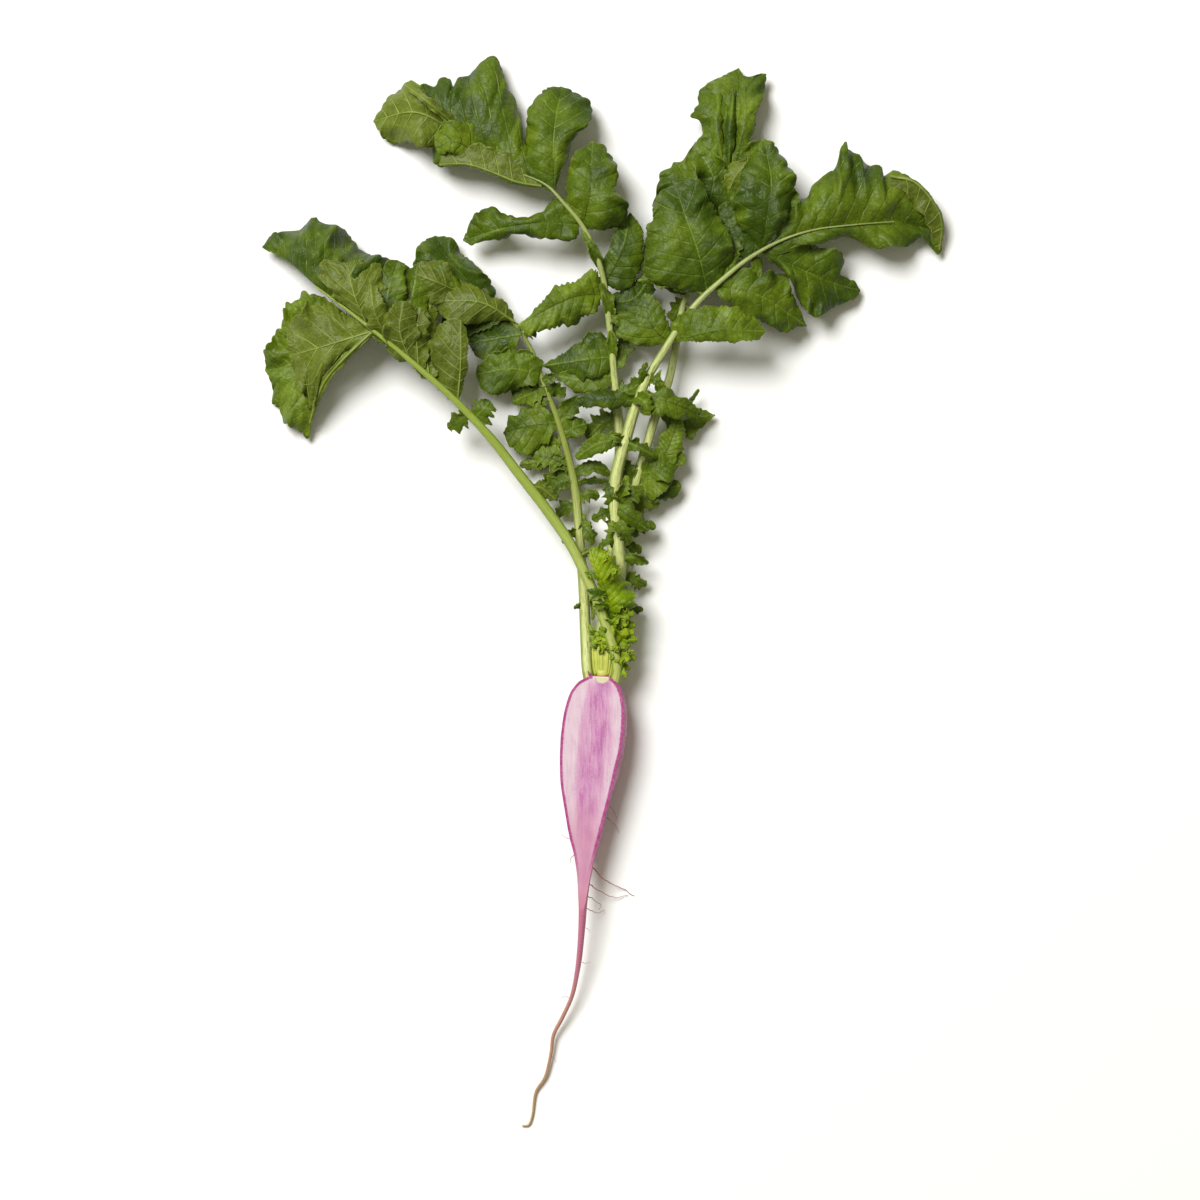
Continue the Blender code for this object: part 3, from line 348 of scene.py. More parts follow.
UPPER_MIDDLE_LEAF = Leaf(stalk=[
    (6.8, 31, 11.2, 2.7), (6.6, 42, 8.6, 2.7), (8.8, 55, 6.5, 2.7), (13, 75, 5.8, 2.6),
    (17.5, 100, 6, 2.5), (20.5, 122, 7, 2.4), (22.3, 140, 8.5, 2.3), (25, 152, 9.5, 2.3),
    (29.2, 165, 10.5, 2.2), (33.5, 180, 11.5, 2.2), (41, 200, 12.5, 2.1), (45.5, 222, 13, 2),
    (49, 242, 13.5, 1.8), (56, 262, 14.5, 1.6), (66, 283, 16, 1.5), (73, 303, 18, 1.3),
    (77, 322, 19.5, 1.1), (79, 342, 18, 0.9), (79, 360, 12, 0.6),
], blades=[
    lobe([(75, 314), (79, 342, 18), (80, 358, 12), (80, 374, 3)],
         [(60, 318), (57, 326), (59, 336), (59, 344), (55, 346), (54.5, 351), (57, 356), (62, 365),
          (70, 369)], [(86, 322), (86, 335), (89, 347), (93, 357), (95, 370), (85, 369)],
         lift=(-3, -2), arch=(1, 1)),
    leaflet([(77, 316), (83, 342, 22), (84, 366, 9)], 3.2, 5, tone=0.1, lobing=0.05, vein_gap=30,
            tooth=0.7, lift=(-3, -3)),
    leaflet([(74, 318), (75, 340, 23), (77, 362, 12)], 2.6, tone=-0.4, lobing=0.05, vein_gap=30,
            tooth=0.5, lift=(-3, -3)),
    leaflet([(71, 316), (68, 340, 22), (70, 364, 10)], 4, 2.6, tone=0.2, lobing=0.05, vein_gap=30,
            tooth=0.7, lift=(-3, -3)),
    leaflet([(70, 300), (64, 316, 22), (56, 330, 18)], 8, tone=-0.1, ruffle=2.6),
    leaflet([(72, 300), (79, 314, 23), (88, 322, 22)], 6, 5, turned=True, tone=-0.6),
    lobe([(70, 293), (58, 303, 19), (44, 321, 12)],
         [(56, 280), (42, 280), (33, 288), (33, 300), (37, 315), (42, 318)],
         [(78, 300), (76, 314), (70, 326), (60, 336), (53, 328), (49, 322)], lift=(-3, -2),
         arch=(1, 1), tone=-0.1, pucker=1.2),
    leaflet([(76, 315), (83, 322, 21), (92, 332, 17)], 5),
    leaflet([(69, 289), (78, 299, 20), (83, 316, 19)], 6, 5),
    leaflet([(58, 266), (66, 274, 16), (76, 284, 14)], 8),
    leaflet([(52, 250), (37, 262, 15), (31, 288, 11)], 6, 7, lift=(-1, -1)),
    frill([(50, 245), (46, 240, 10), (43, 234, 8)], 5),
    frill([(39, 195), (50, 188, 9), (58, 196, 10)], 1.5, 2),
    leaflet([(35, 184), (50, 181, 7), (67, 182, 5)], [(42, 187), (53, 187), (61, 185)],
            [(42, 172), (53, 169), (62, 177)]),
    leaflet([(28, 156), (39, 160, 15), (47, 181, 14)], 6, 7, lift=(-2, -2), tone=0.9, vein_gap=2.6,
            pucker=0.9),
    leaflet([(23, 143), (34, 141, 12), (48, 143, 9)], 7, lift=(-2, -2)),
    frill([(23, 145), (19, 150, 12), (17, 157, 12)], 4, 4.5),
    leaflet([(24, 149), (36, 152, 16), (50, 160, 12)], 6, 7, tone=0.6, vein_gap=3, pucker=0.8),
    leaflet([(22, 138), (33, 143, 14), (43, 146, 11)], 5, 6, tone=0.8, vein_gap=3, pucker=0.8),
    frill([(21, 130), (28, 133, 13), (36, 133, 10)], 4, tone=0.9),
    frill([(20, 117), (27, 121, 12), (34, 120, 10)], 3.5, 4, tone=0.6),
    frill([(21.5, 131), (17, 137, 12), (15, 142, 11)], 3),
    frill([(22, 134), (26, 138, 12), (28, 144, 11)], 3),
    frill([(20, 113), (20, 119, 11), (18, 127, 10)], 4),
    frill([(18.5, 105), (22, 109, 11), (26, 106, 9)], 3),
    frill([(17, 95), (23, 91, 10), (29, 88, 7)], 3, 4),
    frill([(14, 80), (20, 76, 9), (27, 74, 7)], 3),
])

UPPER_RIGHT_LEAF = Leaf(stalk=[
    (11.2, 31, 13.8, 2.7), (12.8, 42, 12.8, 2.7), (12.2, 55, 13.4, 2.8), (12.6, 75, 14.7, 2.8),
    (14.3, 98, 16.2, 2.9), (13, 112, 17.2, 3), (11.2, 132, 18.2, 3), (12.5, 150, 19.2, 2.9),
    (17.5, 168, 20.5, 2.7), (22.5, 185, 22, 2.5), (29, 201, 23.5, 2.2), (37.5, 215, 25, 2),
    (47, 230, 26, 1.9), (57, 243, 26.5, 1.8), (70, 255, 27, 1.6), (85, 267, 27, 1.45),
    (103, 277, 26.5, 1.05), (122, 283, 25.5, 0.8), (145, 286, 22.5, 0.6), (165, 288, 17, 0.45),
], blades=[
    lobe([(94, 272), (108, 279, 26.5), (124, 283, 25.5), (145, 286, 22), (168, 288, 14),
          (193, 284, 0.5)],
         [(106, 286), (109, 292), (113, 300), (118, 303), (120, 307.5), (128, 315), (132, 317),
          (134, 322), (136, 330), (139, 333), (140, 329), (146, 325), (149, 321), (158, 318),
          (160, 313), (165, 316.5), (171, 315), (178, 310), (184, 303), (191, 294)],
         [(102, 270), (112, 273), (126, 276), (140, 279), (152, 274), (158, 272), (172, 275),
          (181, 280), (185, 276), (191, 271)], lift=(-6, -3), arch=(5, 1), tone=0.1, tooth=1,
         pucker=1, ruffle=3.2),
    leaflet([(163, 313), (176, 310, 17.5), (186, 300, 15), (192, 288, 11), (191, 273, 6)], 1.2, 8.5,
            lift=(-1, 1), turned=True, tone=0.3, lobing=0.04, vein_gap=9),
    lobe([(92, 271), (110, 263, 23), (130, 255, 15), (147, 251, 5)],
         [(104, 273), (116, 275), (126, 275), (134, 272), (137.7, 266), (136, 260), (143, 257)],
         [(98, 265), (104, 260.7), (109.7, 253), (112.5, 244), (121, 236.4), (126.5, 237),
          (136, 243), (145, 247.6)], lift=(-2, -3), arch=(1, 2)),
    lobe([(91, 271), (95, 290, 33), (97, 310, 31), (93, 333, 24)],
         [(87, 277), (80, 284), (76, 292), (76, 299), (80, 308), (82, 319), (88, 326)],
         [(99, 280), (106, 289), (109, 296), (110, 302), (112, 307), (108, 315), (104, 322),
          (100, 329)], lift=(-4, -4), arch=(2, 2), tone=-0.2),
    lobe([(62, 249), (57, 270, 34), (50, 290, 33), (44, 307, 28)],
         [(50, 250), (38, 252), (28, 259), (28, 272), (30, 284), (35, 293), (35, 301), (40, 306)],
         [(72, 257), (77, 270), (74, 282), (68, 290), (63, 299), (60, 308), (51, 310)],
         lift=(-4, -4), arch=(2, 2), tone=-0.1, pucker=0.4, ruffle=2.2),
    leaflet([(86, 268), (78, 280, 27), (72, 298, 25)], 9, 8, tone=-0.3),
    leaflet([(74, 259), (74, 272, 28), (78, 284, 26)], 6, tone=0.3),
    leaflet([(88, 268), (90, 262, 26), (86, 254, 24)], 3, 4, tone=0.3, vein_gap=20),
    leaflet([(104, 277), (104, 290, 28), (111, 304, 25)], 6, tone=0.1),
    leaflet([(60, 247), (42, 257, 29), (24, 255, 26)], [(50, 249), (35, 251)],
            [(48, 262), (33, 262)], lift=(-2, -2)),
    lobe([(66, 252), (90, 247, 27), (117, 231, 12)],
         [(72, 260), (80, 263), (87, 260.7), (91, 257), (99, 261), (106, 257), (109, 249.5),
          (112, 242)], [(67, 249), (72, 244), (80, 238), (89, 234.5), (95, 231), (104, 228)],
         lift=(-3, -3), arch=(1, 1), tone=0.05),
    leaflet([(42, 222), (66, 227, 35), (94, 227, 29)], [(43, 234), (52, 239), (70, 241), (87, 236)],
            [(55, 221), (70, 221), (88, 221)], lift=(-3, -2), tone=0.5),
    leaflet([(41, 221), (31, 231, 30), (28, 248, 26)],
            [(34, 219), (21, 220), (12, 228), (14, 236), (23, 242)],
            [(43, 229), (38, 239), (33, 246)], lift=(-3, -2)),
    leaflet([(24, 189), (8, 190, 26), (-10, 189, 21)], 5, lift=(-2, -2)),
    leaflet([(23, 188), (38, 189, 28), (58, 182, 21)], 6, 8, lift=(-2, -2)),
    frill([(22, 192), (28, 188, 29), (30, 181, 27)], 4),
    frill([(27, 197), (26, 203, 27), (29, 210, 28)], 2, 2.5),
    frill([(29, 200), (34, 200, 27), (38, 194, 25)], 4, 3),
    frill([(17, 166), (13, 169, 24), (9, 170, 23)], 3, 2),
    frill([(17, 167), (24, 164, 25), (33, 159, 21)], 3.5),
    frill([(11, 129), (5, 127, 21), (-1, 124, 18)], 3.2, tone=-0.4),
    frill([(12, 131), (9, 137, 22), (7, 144, 20)], 3.5, tone=0.1),
    frill([(13, 131), (20, 137, 23), (27, 141, 20)], 4.5, tone=-0.1),
    frill([(13, 127), (16, 119, 22), (20, 111, 19)], 4.2, tone=0.1),
    frill([(12, 134), (16, 140, 24), (18, 148, 23)], 3, 3.4, tone=0.6),
    frill([(12, 126), (10, 119, 22), (8, 113, 20)], 3, tone=0.3),
    leaflet([(17, 168), (3, 166, 23), (-10, 158, 18)], 5.5, 5, lift=(-1, -1)),
    leaflet([(11, 131), (18, 127, 23), (30, 118, 18)], 5, lift=(-1, -1)),
    frill([(14, 103), (22, 103, 20), (30, 100, 16)], 2.5, 3),
    frill([(13, 110), (8, 112, 21), (3, 109, 18)], 2.5),
])

LEAVES = {
    "left_leaf": LEFT_LEAF,
    "inner_left_leaf": INNER_LEFT_LEAF,
    "upper_left_leaf": UPPER_LEFT_LEAF,
    "upper_middle_leaf": UPPER_MIDDLE_LEAF,
    "upper_right_leaf": UPPER_RIGHT_LEAF,
}

# The short young leaf on the crown
YOUNG_LEAF = Leaf(stalk=[
    (5, 40.5, 16.4, 1.6), (7.5, 52, 18.2, 1.5), (11, 61, 20.5, 1.4), (11.5, 68, 22.5, 1.3),
    (9, 76, 25.5, 1.2), (6, 86, 29.5, 1), (2, 97, 32.6, 0.8), (-1, 104, 33, 0.6),
], blades=[
    lobe([(11, 66), (9, 76, 25.5), (6, 86, 29.5), (1, 98, 33), (-2, 108, 32)],
         [(6, 74), (3, 86), (-1, 98), (-3, 106)],
         [(17, 72), (22, 79), (20, 85), (19, 91), (14, 98), (10, 104), (4, 109)], lift=(-1, -5),
         arch=(0, 1), vein_gap=3.4, pucker=0.45, tooth=1.8, tooth_length=3.2, ruffle=3.6,
         lobing=0.14, step=0.5, tone=0.2),
    frill([(11, 61), (15, 60, 20), (19, 57, 19)], 3),
    frill([(11.4, 65), (15, 66, 22), (19, 65, 21)], 3),
    frill([(8.5, 55), (12, 53, 18.8), (17, 52, 18.6)], 2.5),
    frill([(7.5, 51), (5, 55, 20), (3, 60, 20.5)], 2),
    frill([(11.5, 69), (16, 72, 23), (20, 70, 23)], 3),
    frill([(10, 58), (6, 62, 22), (3, 65, 22)], 2, tone=-0.6),
    frill([(11, 64), (7, 67, 24), (4, 67, 24)], 1.6, tone=-0.6),
    frill([(10, 74), (4, 74, 26), (1, 72, 25)], 1.8, tone=-0.6),
    frill([(7, 82), (2, 82, 30), (-2, 80, 29)], 1.6, tone=-0.5),
])

# Its curled frills: where each starts and ends, its height, half width and tone
CURLS = [
    ((7, 56), (1, 62), 22.5, 3, 0.5), ((9, 54), (14, 61), 23, 3.2, 0.8),
    ((10, 50), (18, 51), 21.5, 3, 0.4), ((9, 47), (17, 45), 20.5, 3, 0.7),
    ((12, 56), (20, 55), 22, 3.2, 0.1), ((12, 61), (22, 62), 22.5, 3.4, 0.5),
    ((11, 63), (3, 70), 27, 2.4, -0.9), ((11, 67), (19, 68), 24.5, 3.2, 0.8),
    ((5, 58), (-1, 57), 21.5, 1.8, 0.6), ((3, 54), (-2, 60), 21, 1.8, 0),
    ((12, 59), (8, 67), 26.5, 3, 0.9), ((13, 52), (21, 47), 19.5, 2.8, 0),
    ((10, 45), (16, 39), 20, 2.2, 0.6), ((8, 77), (-1, 76), 29.5, 2, -1),
    ((6, 84), (-4, 85), 31, 1.8, -1), ((4, 92), (-5, 95), 31.5, 2, -0.8),
    ((12, 70), (22, 73), 25.5, 3.2, 0.4), ((14, 66), (23, 66), 21.5, 3, 0),
    ((6, 50), (3, 57), 22.5, 1.6, 0.9), ((8, 48), (11, 56), 23, 2, 0.5),
    ((6, 60), (12, 66), 26.5, 2.6, 0.7), ((4, 61), (8, 55), 24.5, 2.2, 0.9),
    ((14, 58), (18, 64), 25.5, 2.6, 0.8), ((12, 48), (20, 48), 23.5, 2.6, 0.6),
    ((2, 58), (6, 64), 23.5, 2.2, 0.3), ((9, 50), (14, 54), 26.6, 1.8, 0.6),
    ((12, 43), (16, 48), 25.6, 1.8, 0.8), ((10, 57), (13, 51), 27.4, 1.8, 0.4),
    ((16, 58), (24, 58), 22, 2.6, 0.2), ((8, 65), (14, 71), 28.2, 2.2, 0.6),
    ((10, 73), (16, 79), 28, 2.2, 0.3), ((13, 44), (18, 37), 22.5, 1.8, 0.3),
    ((7, 90), (12, 97), 33.5, 1.8, 0.4), ((3, 100), (8, 107), 34, 1.8, 0.2),
    ((3, 53), (-2, 56), 22.4, 1.5, -0.2), ((5, 55), (3, 50), 23.2, 1.3, 0.2),
    ((7, 57), (10, 53), 23.2, 1.5, 0), ((2, 57), (7, 60), 22.8, 1.8, -0.4),
    ((8, 53), (5, 59), 23.6, 1.4, 0.6), ((1, 60), (-3, 66), 22.6, 1.5, 0.2),
    ((12, 53), (9, 47), 25.2, 1.2, -0.3), ((15, 49), (11, 45), 24.8, 1.4, 0.2),
    ((18, 52), (23, 47), 19.6, 2, -0.2), ((15, 43), (20, 42), 19, 1.8, 0),
    ((9, 61), (4, 65), 28, 1.6, -0.4),
]
for start, end, height, width, tone in CURLS:
    middle = ((start[0] + end[0]) / 2, (start[1] + end[1]) / 2, height)
    YOUNG_LEAF.blades.append(frill([start, middle, (*end, height - 0.8)], width, tone=tone))

# The pale collar as x, y, z and radius, and the cut stalks on it and the dry purple scales beside
# it as x, y, z points and the radius at their start
COLLAR = [(4.7, 37.2, 17.4, 2.0), (4.7, 38.2, 17.4, 4.0), (4.7, 40.0, 17.4, 4.3),
          (4.7, 42.5, 17.4, 3.6), (4.7, 44.5, 17.4, 2.2)]
CUT_STALKS = [
    ([(1.6, 37.2, 17.6), (0.6, 44, 18.2), (-0.6, 55, 18.4)], 1.6),
    ([(2.4, 37.4, 18.6), (1.4, 46, 19.4), (0.4, 60, 19.8)], 1.5),
    ([(3.4, 37.6, 19), (2.9, 46, 20.2), (2.2, 57, 20.8)], 1.3),
    ([(4.2, 37.8, 19.5), (4, 47, 20.8), (4.4, 63, 21.6)], 1.5),
    ([(5.2, 37.8, 19.5), (5.6, 47, 20.8), (6.2, 58, 21.4)], 1.2),
    ([(6.2, 37.8, 19.4), (7, 47, 20.7), (7.8, 62, 21.4)], 1.6),
    ([(7.2, 37.6, 19), (8.3, 46, 20.2), (9.8, 60, 20.8)], 1.5),
    ([(8.2, 37.4, 18.4), (9.8, 45, 19.4), (12.2, 57, 19.8)], 1.6),
    ([(9, 37, 17.4), (11.2, 44, 18.2), (14.2, 54, 18.4)], 1.6),
    ([(5.4, 37.6, 17.4), (5.6, 46, 18.4), (6, 60, 18.8)], 3),
    ([(9.8, 36.6, 16), (13, 43, 16.6), (16.4, 50, 16.8)], 1.7),
]
SCALES = [
    ([(-1, 36.4, 19.6), (-2.6, 38.4, 20.6), (-3.4, 40.8, 20.2)], 1),
    ([(-0.4, 36.8, 19.8), (-1.6, 38.2, 20.8), (-1.8, 39.8, 20.4)], 0.8),
    ([(9.8, 35.8, 20), (11.2, 37.2, 21), (11, 38.8, 20.4)], 0.9),
    ([(10.6, 34.8, 19.8), (12.4, 35.8, 20.8), (13.4, 37.4, 20.2)], 0.8),
    ([(1.2, 37.2, 20.4), (0.6, 38.6, 21), (1.4, 39.6, 20.8)], 0.5),
]


# Paths and waves


def smooth_path(points, count):
    """count + 1 points, evenly spaced, on a smooth curve through the given ones."""
    points = np.array(points, float)
    ends = np.vstack([2 * points[0] - points[1], points, 2 * points[-1] - points[-2]])
    t = np.linspace(0, 1, 16, endpoint=False)[:, None]
    dense = []
    for a, b, c, d in zip(ends, ends[1:], ends[2:], ends[3:]):
        square, cube = 2 * a - 5 * b + 4 * c - d, 3 * b - a - 3 * c + d
        dense.append(0.5 * (2 * b + (c - a) * t + square * t**2 + cube * t**3))
    dense = np.vstack([*dense, points[-1:]])
    reach = arc_reach(dense)
    goal = np.linspace(0, reach[-1], count + 1)
    return np.column_stack([np.interp(goal, reach, column) for column in dense.T])


def arc_reach(path):
    """How far along the path each of its points is."""
    steps = np.linalg.norm(np.diff(path, axis=0), axis=1)
    return np.concatenate([[0], np.cumsum(steps)])


def unit(vectors):
    """The same directions, with length 1."""
    return vectors / np.maximum(np.linalg.norm(vectors, axis=-1, keepdims=True), 1e-9)


def left_of(path):
    """The level direction to the left of the path at each of its points."""
    return unit(np.cross(UP, np.gradient(path[:, :3], axis=0)))


def waves(points, length, seed):
    """Smooth irregular waves, from about -1 to 1, at points of any number of dimensions."""
    random = np.random.default_rng(seed)
    total = np.zeros(points.shape[:-1])
    for _ in range(9):
        direction = random.normal(size=points.shape[-1])
        direction /= np.linalg.norm(direction)
        pace = TAU / (length * random.uniform(0.7, 1.7))
        total += np.sin(points @ direction * pace + random.uniform(0, TAU))
    return total / 3


# Blades


def scallops(reach, length, pointed, seed):
    """The margin's teeth: 0 in the notches between them and 1 at their tips, uneven in length."""
    place = (reach / length + 0.45 * waves(reach[:, None], 3.1 * length, seed)) % 1
    if pointed:
        return np.where(place < 0.7, (place / 0.7) ** 1.2, (1 - place) / 0.3)
    return np.abs(np.sin(math.pi * place)) ** 0.55


def margin(blade, side, spine, left, seed):
    """From each spine point to one margin, without and with teeth, and how far along it is."""
    shape, sign = blade.sides[side], 1 - 2 * side
    share = np.linspace(0, 1, len(spine))
    if isinstance(shape, list):
        edge = smooth_path([spine[0, :2], *shape, spine[-1, :2]], len(spine) - 1)
    else:
        swell = np.sin(math.pi * (0.12 + 0.82 * share))[:, None] ** 0.7
        edge = spine[:, :2] + sign * 1.1 * shape * swell * left[:, :2]
    out = edge - spine[:, :2]
    width = np.linalg.norm(out, axis=1)
    slim = width < LEAST_WIDTH
    slim[[0, -1]] = True
    least = np.where(np.arange(len(spine)) == 0, 1.0, 0.5)
    out[slim] = sign * least[slim, None] * left[slim, :2]
    width = np.maximum(width, LEAST_WIDTH)

    # Teeth, uneven bites and larger lobes, none of them at the base and the tip
    reach = arc_reach(edge)
    teeth = scallops(reach, blade.tooth_length, blade.lobing > POINTED_FROM, seed)
    bite = blade.tooth * (teeth - 0.7)
    bite += 0.55 * blade.tooth * waves(reach[:, None], 2.6 * blade.tooth_length, seed + 1)
    bite *= np.clip(width / 4, 0, 1)
    bite += blade.lobing * width * 2 * (scallops(reach, reach[-1] / 2.8, True, seed + 2) - 0.55)
    bite *= np.clip(np.minimum(share, 1 - share) * 14, 0, 1)
    toothed = out * (1 + bite / width)[:, None]
    return out, toothed, reach


def blade_half(blade, side, edge, spine, steps, widest, length, seed):
    """The blade from its midrib out to one margin, as rows of points.

    With them come the share of the way out, the side veins passed so far, and the distances to
    the midrib and to the margin.
    """
    out, toothed, reach = edge
    u = np.linspace(0, 1, len(spine))
    width = np.linalg.norm(out, axis=1)
    share = np.broadcast_to(steps, (len(spine), len(steps)))
    rib_mm, edge_mm = share * width[:, None], (1 - share) * width[:, None]
    flat = share[..., None] * out[:, None] + (share**4)[..., None] * (toothed - out)[:, None]
    rise = blade.lift[side] * share**2 + blade.arch[side] * 4 * share * (1 - share)
    rise = rise * np.sin(math.pi * u)[:, None]
    long_wave = waves(reach[:, None], 26, seed + 5 + side)
    short_wave = waves(reach[:, None], 10, seed + 7 + side)
    ruffle = blade.ruffle * (1.2 * long_wave + 0.6 * short_wave)
    ruffle = ruffle * np.clip(width / min(12, 0.6 * widest), 0, 1)
    ruffle *= np.sin(math.pi * np.clip(u, 0.02, 0.98)) ** 0.5
    rise = rise + ruffle[:, None] * share**2.2
    phase = (u[:, None] * length - VEIN_SLANT * share * width[:, None]) / blade.vein_gap
    bulge = np.abs(np.sin(math.pi * phase)) ** 1.4 * share**0.6 * (1 - share**5)
    bulge = blade.pucker * bulge * np.clip(width / 8, 0, 1)[:, None]
    bulge += 0.09 * np.minimum(rib_mm, 9)
    rise = rise + (-bulge if blade.turned else bulge)
    height = (spine[:, None, 2] + rise)[..., None]
    points = np.concatenate([spine[:, None, :2] + flat, height], axis=2)
    return points, share, phase, rib_mm, edge_mm


def blade_sheet(blade, stalk_path, seed):
    """The blade's middle surface as rows of points, with what its finish and veins need."""
    base = np.array(blade.spine[0], float)
    nearest = stalk_path[np.argmin(np.linalg.norm(stalk_path[:, :2] - base, axis=1))]
    course = [(*base, nearest[2]), *blade.spine[1:]]
    length = arc_reach(smooth_path(course, 60))[-1]
    drawn = [np.array([base, *shape, blade.spine[-1][:2]], float)
             for shape in blade.sides if isinstance(shape, list)]
    longest = max([length] + [arc_reach(edge)[-1] for edge in drawn])
    spine = smooth_path(course, int(np.clip(longest / blade.step, 16, MOST_ROWS)))
    left = left_of(spine)
    edges = [margin(blade, side, spine, left, seed + 10 * side) for side in (0, 1)]
    widths = [np.linalg.norm(out, axis=1) for out, _, _ in edges]
    widest = max(width.max() for width in widths)
    columns = int(np.clip(widest / (1.1 * blade.step), 5, MOST_COLUMNS))
    steps = np.linspace(0, 1, columns + 1) ** CROWDING
    halves = [blade_half(blade, side, edges[side], spine, steps, widest, length, seed)
              for side in (0, 1)]
    points, share, phase, rib_mm, edge_mm = [
        np.concatenate([first[:, ::-1], second[:, 1:]], axis=1) for first, second in zip(*halves)]
    rolling = 0.42 * blade.ruffle * waves(points, 17, seed + 3) + 0.3 * waves(points, 6.5, seed + 4)
    points[..., 2] += np.clip(rib_mm / 6, 0, 1) * rolling
    normal = unit(np.cross(np.gradient(points, axis=0), -np.gradient(points, axis=1)))
    half = BLADE_HALF + RIB_HALF * np.exp(-((rib_mm / 0.9) ** 2))
    points[..., 2] = np.maximum(points[..., 2], half + 0.05)
    return {"points": points, "normal": normal, "half": half, "share": share, "phase": phase,
            "rib_mm": rib_mm, "edge_mm": edge_mm, "columns": columns, "length": length,
            "widths": widths}


def closed_sheet(sheet, blade):
    """Points, faces and named values of the thin closed solid about a blade's middle surface."""
    points, offset = sheet["points"], sheet["half"][..., None] * sheet["normal"]
    rows, columns = points.shape[:2]
    count = rows * columns
    index = np.arange(count).reshape(rows, columns)
    quads = [index[:-1, :-1], index[:-1, 1:], index[1:, 1:], index[1:, :-1]]
    upper = np.stack(quads, axis=-1).reshape(-1, 4)
    rim = np.concatenate([index[0], index[1:, -1], index[-1, -2::-1], index[-2:0:-1, 0]])
    after = np.roll(rim, -1)
    edge = np.stack([after, rim, rim + count, after + count], axis=-1)
    faces = np.concatenate([upper, upper[:, ::-1] + count, edge])
    solid = np.concatenate([(points + offset).reshape(-1, 3), (points - offset).reshape(-1, 3)])
    below = np.concatenate([np.zeros(count), np.ones(count)])
    kept = ("share", "phase", "rib_mm", "edge_mm")
    values = {key: np.tile(sheet[key].ravel(), 2) for key in kept}
    values["under"] = 1 - below if blade.turned else below
    values["tone"] = np.full(2 * count, blade.tone, float)
    return solid, faces, values


def spot_on(sheet, side, row, share):
    """Middle, normal and half thickness at a row and a share of the way to one margin."""
    column = (1 - (1 - 2 * side) * share ** (1 / CROWDING)) * sheet["columns"]
    i = min(int(row), sheet["points"].shape[0] - 2)
    k = min(int(column), sheet["points"].shape[1] - 2)
    f, g = row - i, column - k

    def between(grid):
        near = grid[i, k] * (1 - g) + grid[i, k + 1] * g
        far = grid[i + 1, k] * (1 - g) + grid[i + 1, k + 1] * g
        return near * (1 - f) + far * f

    return between(sheet["points"]), between(sheet["normal"]), between(sheet["half"])


def vein_paths(sheet, blade):
    """The midrib and side veins, as points and radii on the blade's underside."""
    face = 1 if blade.turned else -1
    rows, gap, length = sheet["points"].shape[0] - 1, blade.vein_gap, sheet["length"]
    thick = float(np.clip(length / 60, 0.45, 1.0))
    midrib = [(0, row, 0.0, thick * (0.95 - 0.75 * row / rows))
              for row in np.linspace(0, rows * 0.96, 26)]
    runs = [midrib]
    for side in (0, 1):
        for number in range(1, int(length / gap)):
            run = []
            for share in np.linspace(0, 0.9, 9):
                row = number * gap / length * rows
                for _ in range(4):
                    wide = np.interp(row, np.arange(rows + 1), sheet["widths"][side])
                    climb = number * gap + VEIN_SLANT * share * wide
                    row = min(climb / length * rows, rows - 1)
                if row >= rows - 1:
                    break
                run.append((side, row, share, thick * (0.5 - 0.36 * share)))
            runs.append(run)
    paths = []
    for run in runs:
        path = []
        for side, row, share, radius in run:
            place, normal, half = spot_on(sheet, side, row, share)
            path.append((*(place + face * normal * (half - 0.1 * radius)), radius))
        if len(path) > 2:
            paths.append(np.array(path))
    return paths


# Meshes and Geometry Nodes


def new_object(name, points, faces=(), edges=(), values=None, finish=None):
    """A smooth-shaded object from points in millimetres, with named values on its points."""
    mesh = bpy.data.meshes.new(name)
    mesh.from_pydata((np.asarray(points) * MM).tolist(), [tuple(e) for e in edges],
                     [tuple(f) for f in faces])
    for key, numbers in (values or {}).items():
        stored = mesh.attributes.new(key, "FLOAT", "POINT")
        stored.data.foreach_set("value", np.asarray(numbers, np.float32))
    if len(mesh.polygons):
        mesh.polygons.foreach_set("use_smooth", [True] * len(mesh.polygons))
    if finish:
        mesh.materials.append(finish)
    return link(name, mesh)


def link(name, data):
    """An object of its own in the scene for a mesh, light or camera."""
    made = bpy.data.objects.new(name, data)
    bpy.context.scene.collection.objects.link(made)
    return made


def add(tree, kind, inputs=None, **settings):
    """Adds a node. The inputs, by name or number, are values or other nodes' outputs."""
    node = tree.nodes.new(kind)
    for key, value in settings.items():
        setattr(node, key, value)
    for key, value in (inputs or {}).items():
        if isinstance(value, bpy.types.NodeSocket):
            tree.links.new(value, node.inputs[key])
        else:
            node.inputs[key].default_value = value
    return node


def reckon(tree, operation, *values):
    """The result of a Math node."""
    return add(tree, "ShaderNodeMath", dict(enumerate(values)), operation=operation).outputs[0]


def mark(tree, geometry, name, value):
    """The geometry with a value stored on its points under a name."""
    return add(tree, "GeometryNodeStoreNamedAttribute",
               {"Geometry": geometry, "Name": name, "Value": value},
               data_type="FLOAT", domain="POINT").outputs[0]


def new_tree(name, sizes):
    """A Geometry Nodes tree with a geometry input, named sizes, and their outputs inside it."""
    tree = bpy.data.node_groups.new(name, "GeometryNodeTree")
    sockets = tree.interface
    sockets.new_socket("Geometry", in_out="INPUT", socket_type="NodeSocketGeometry")
    for label, value in sizes.items():
        kind = "NodeSocketInt" if isinstance(value, int) else "NodeSocketFloat"
        sockets.new_socket(label, in_out="INPUT", socket_type=kind).default_value = value
    sockets.new_socket("Geometry", in_out="OUTPUT", socket_type="NodeSocketGeometry")
    return tree, tree.nodes.new("NodeGroupInput").outputs


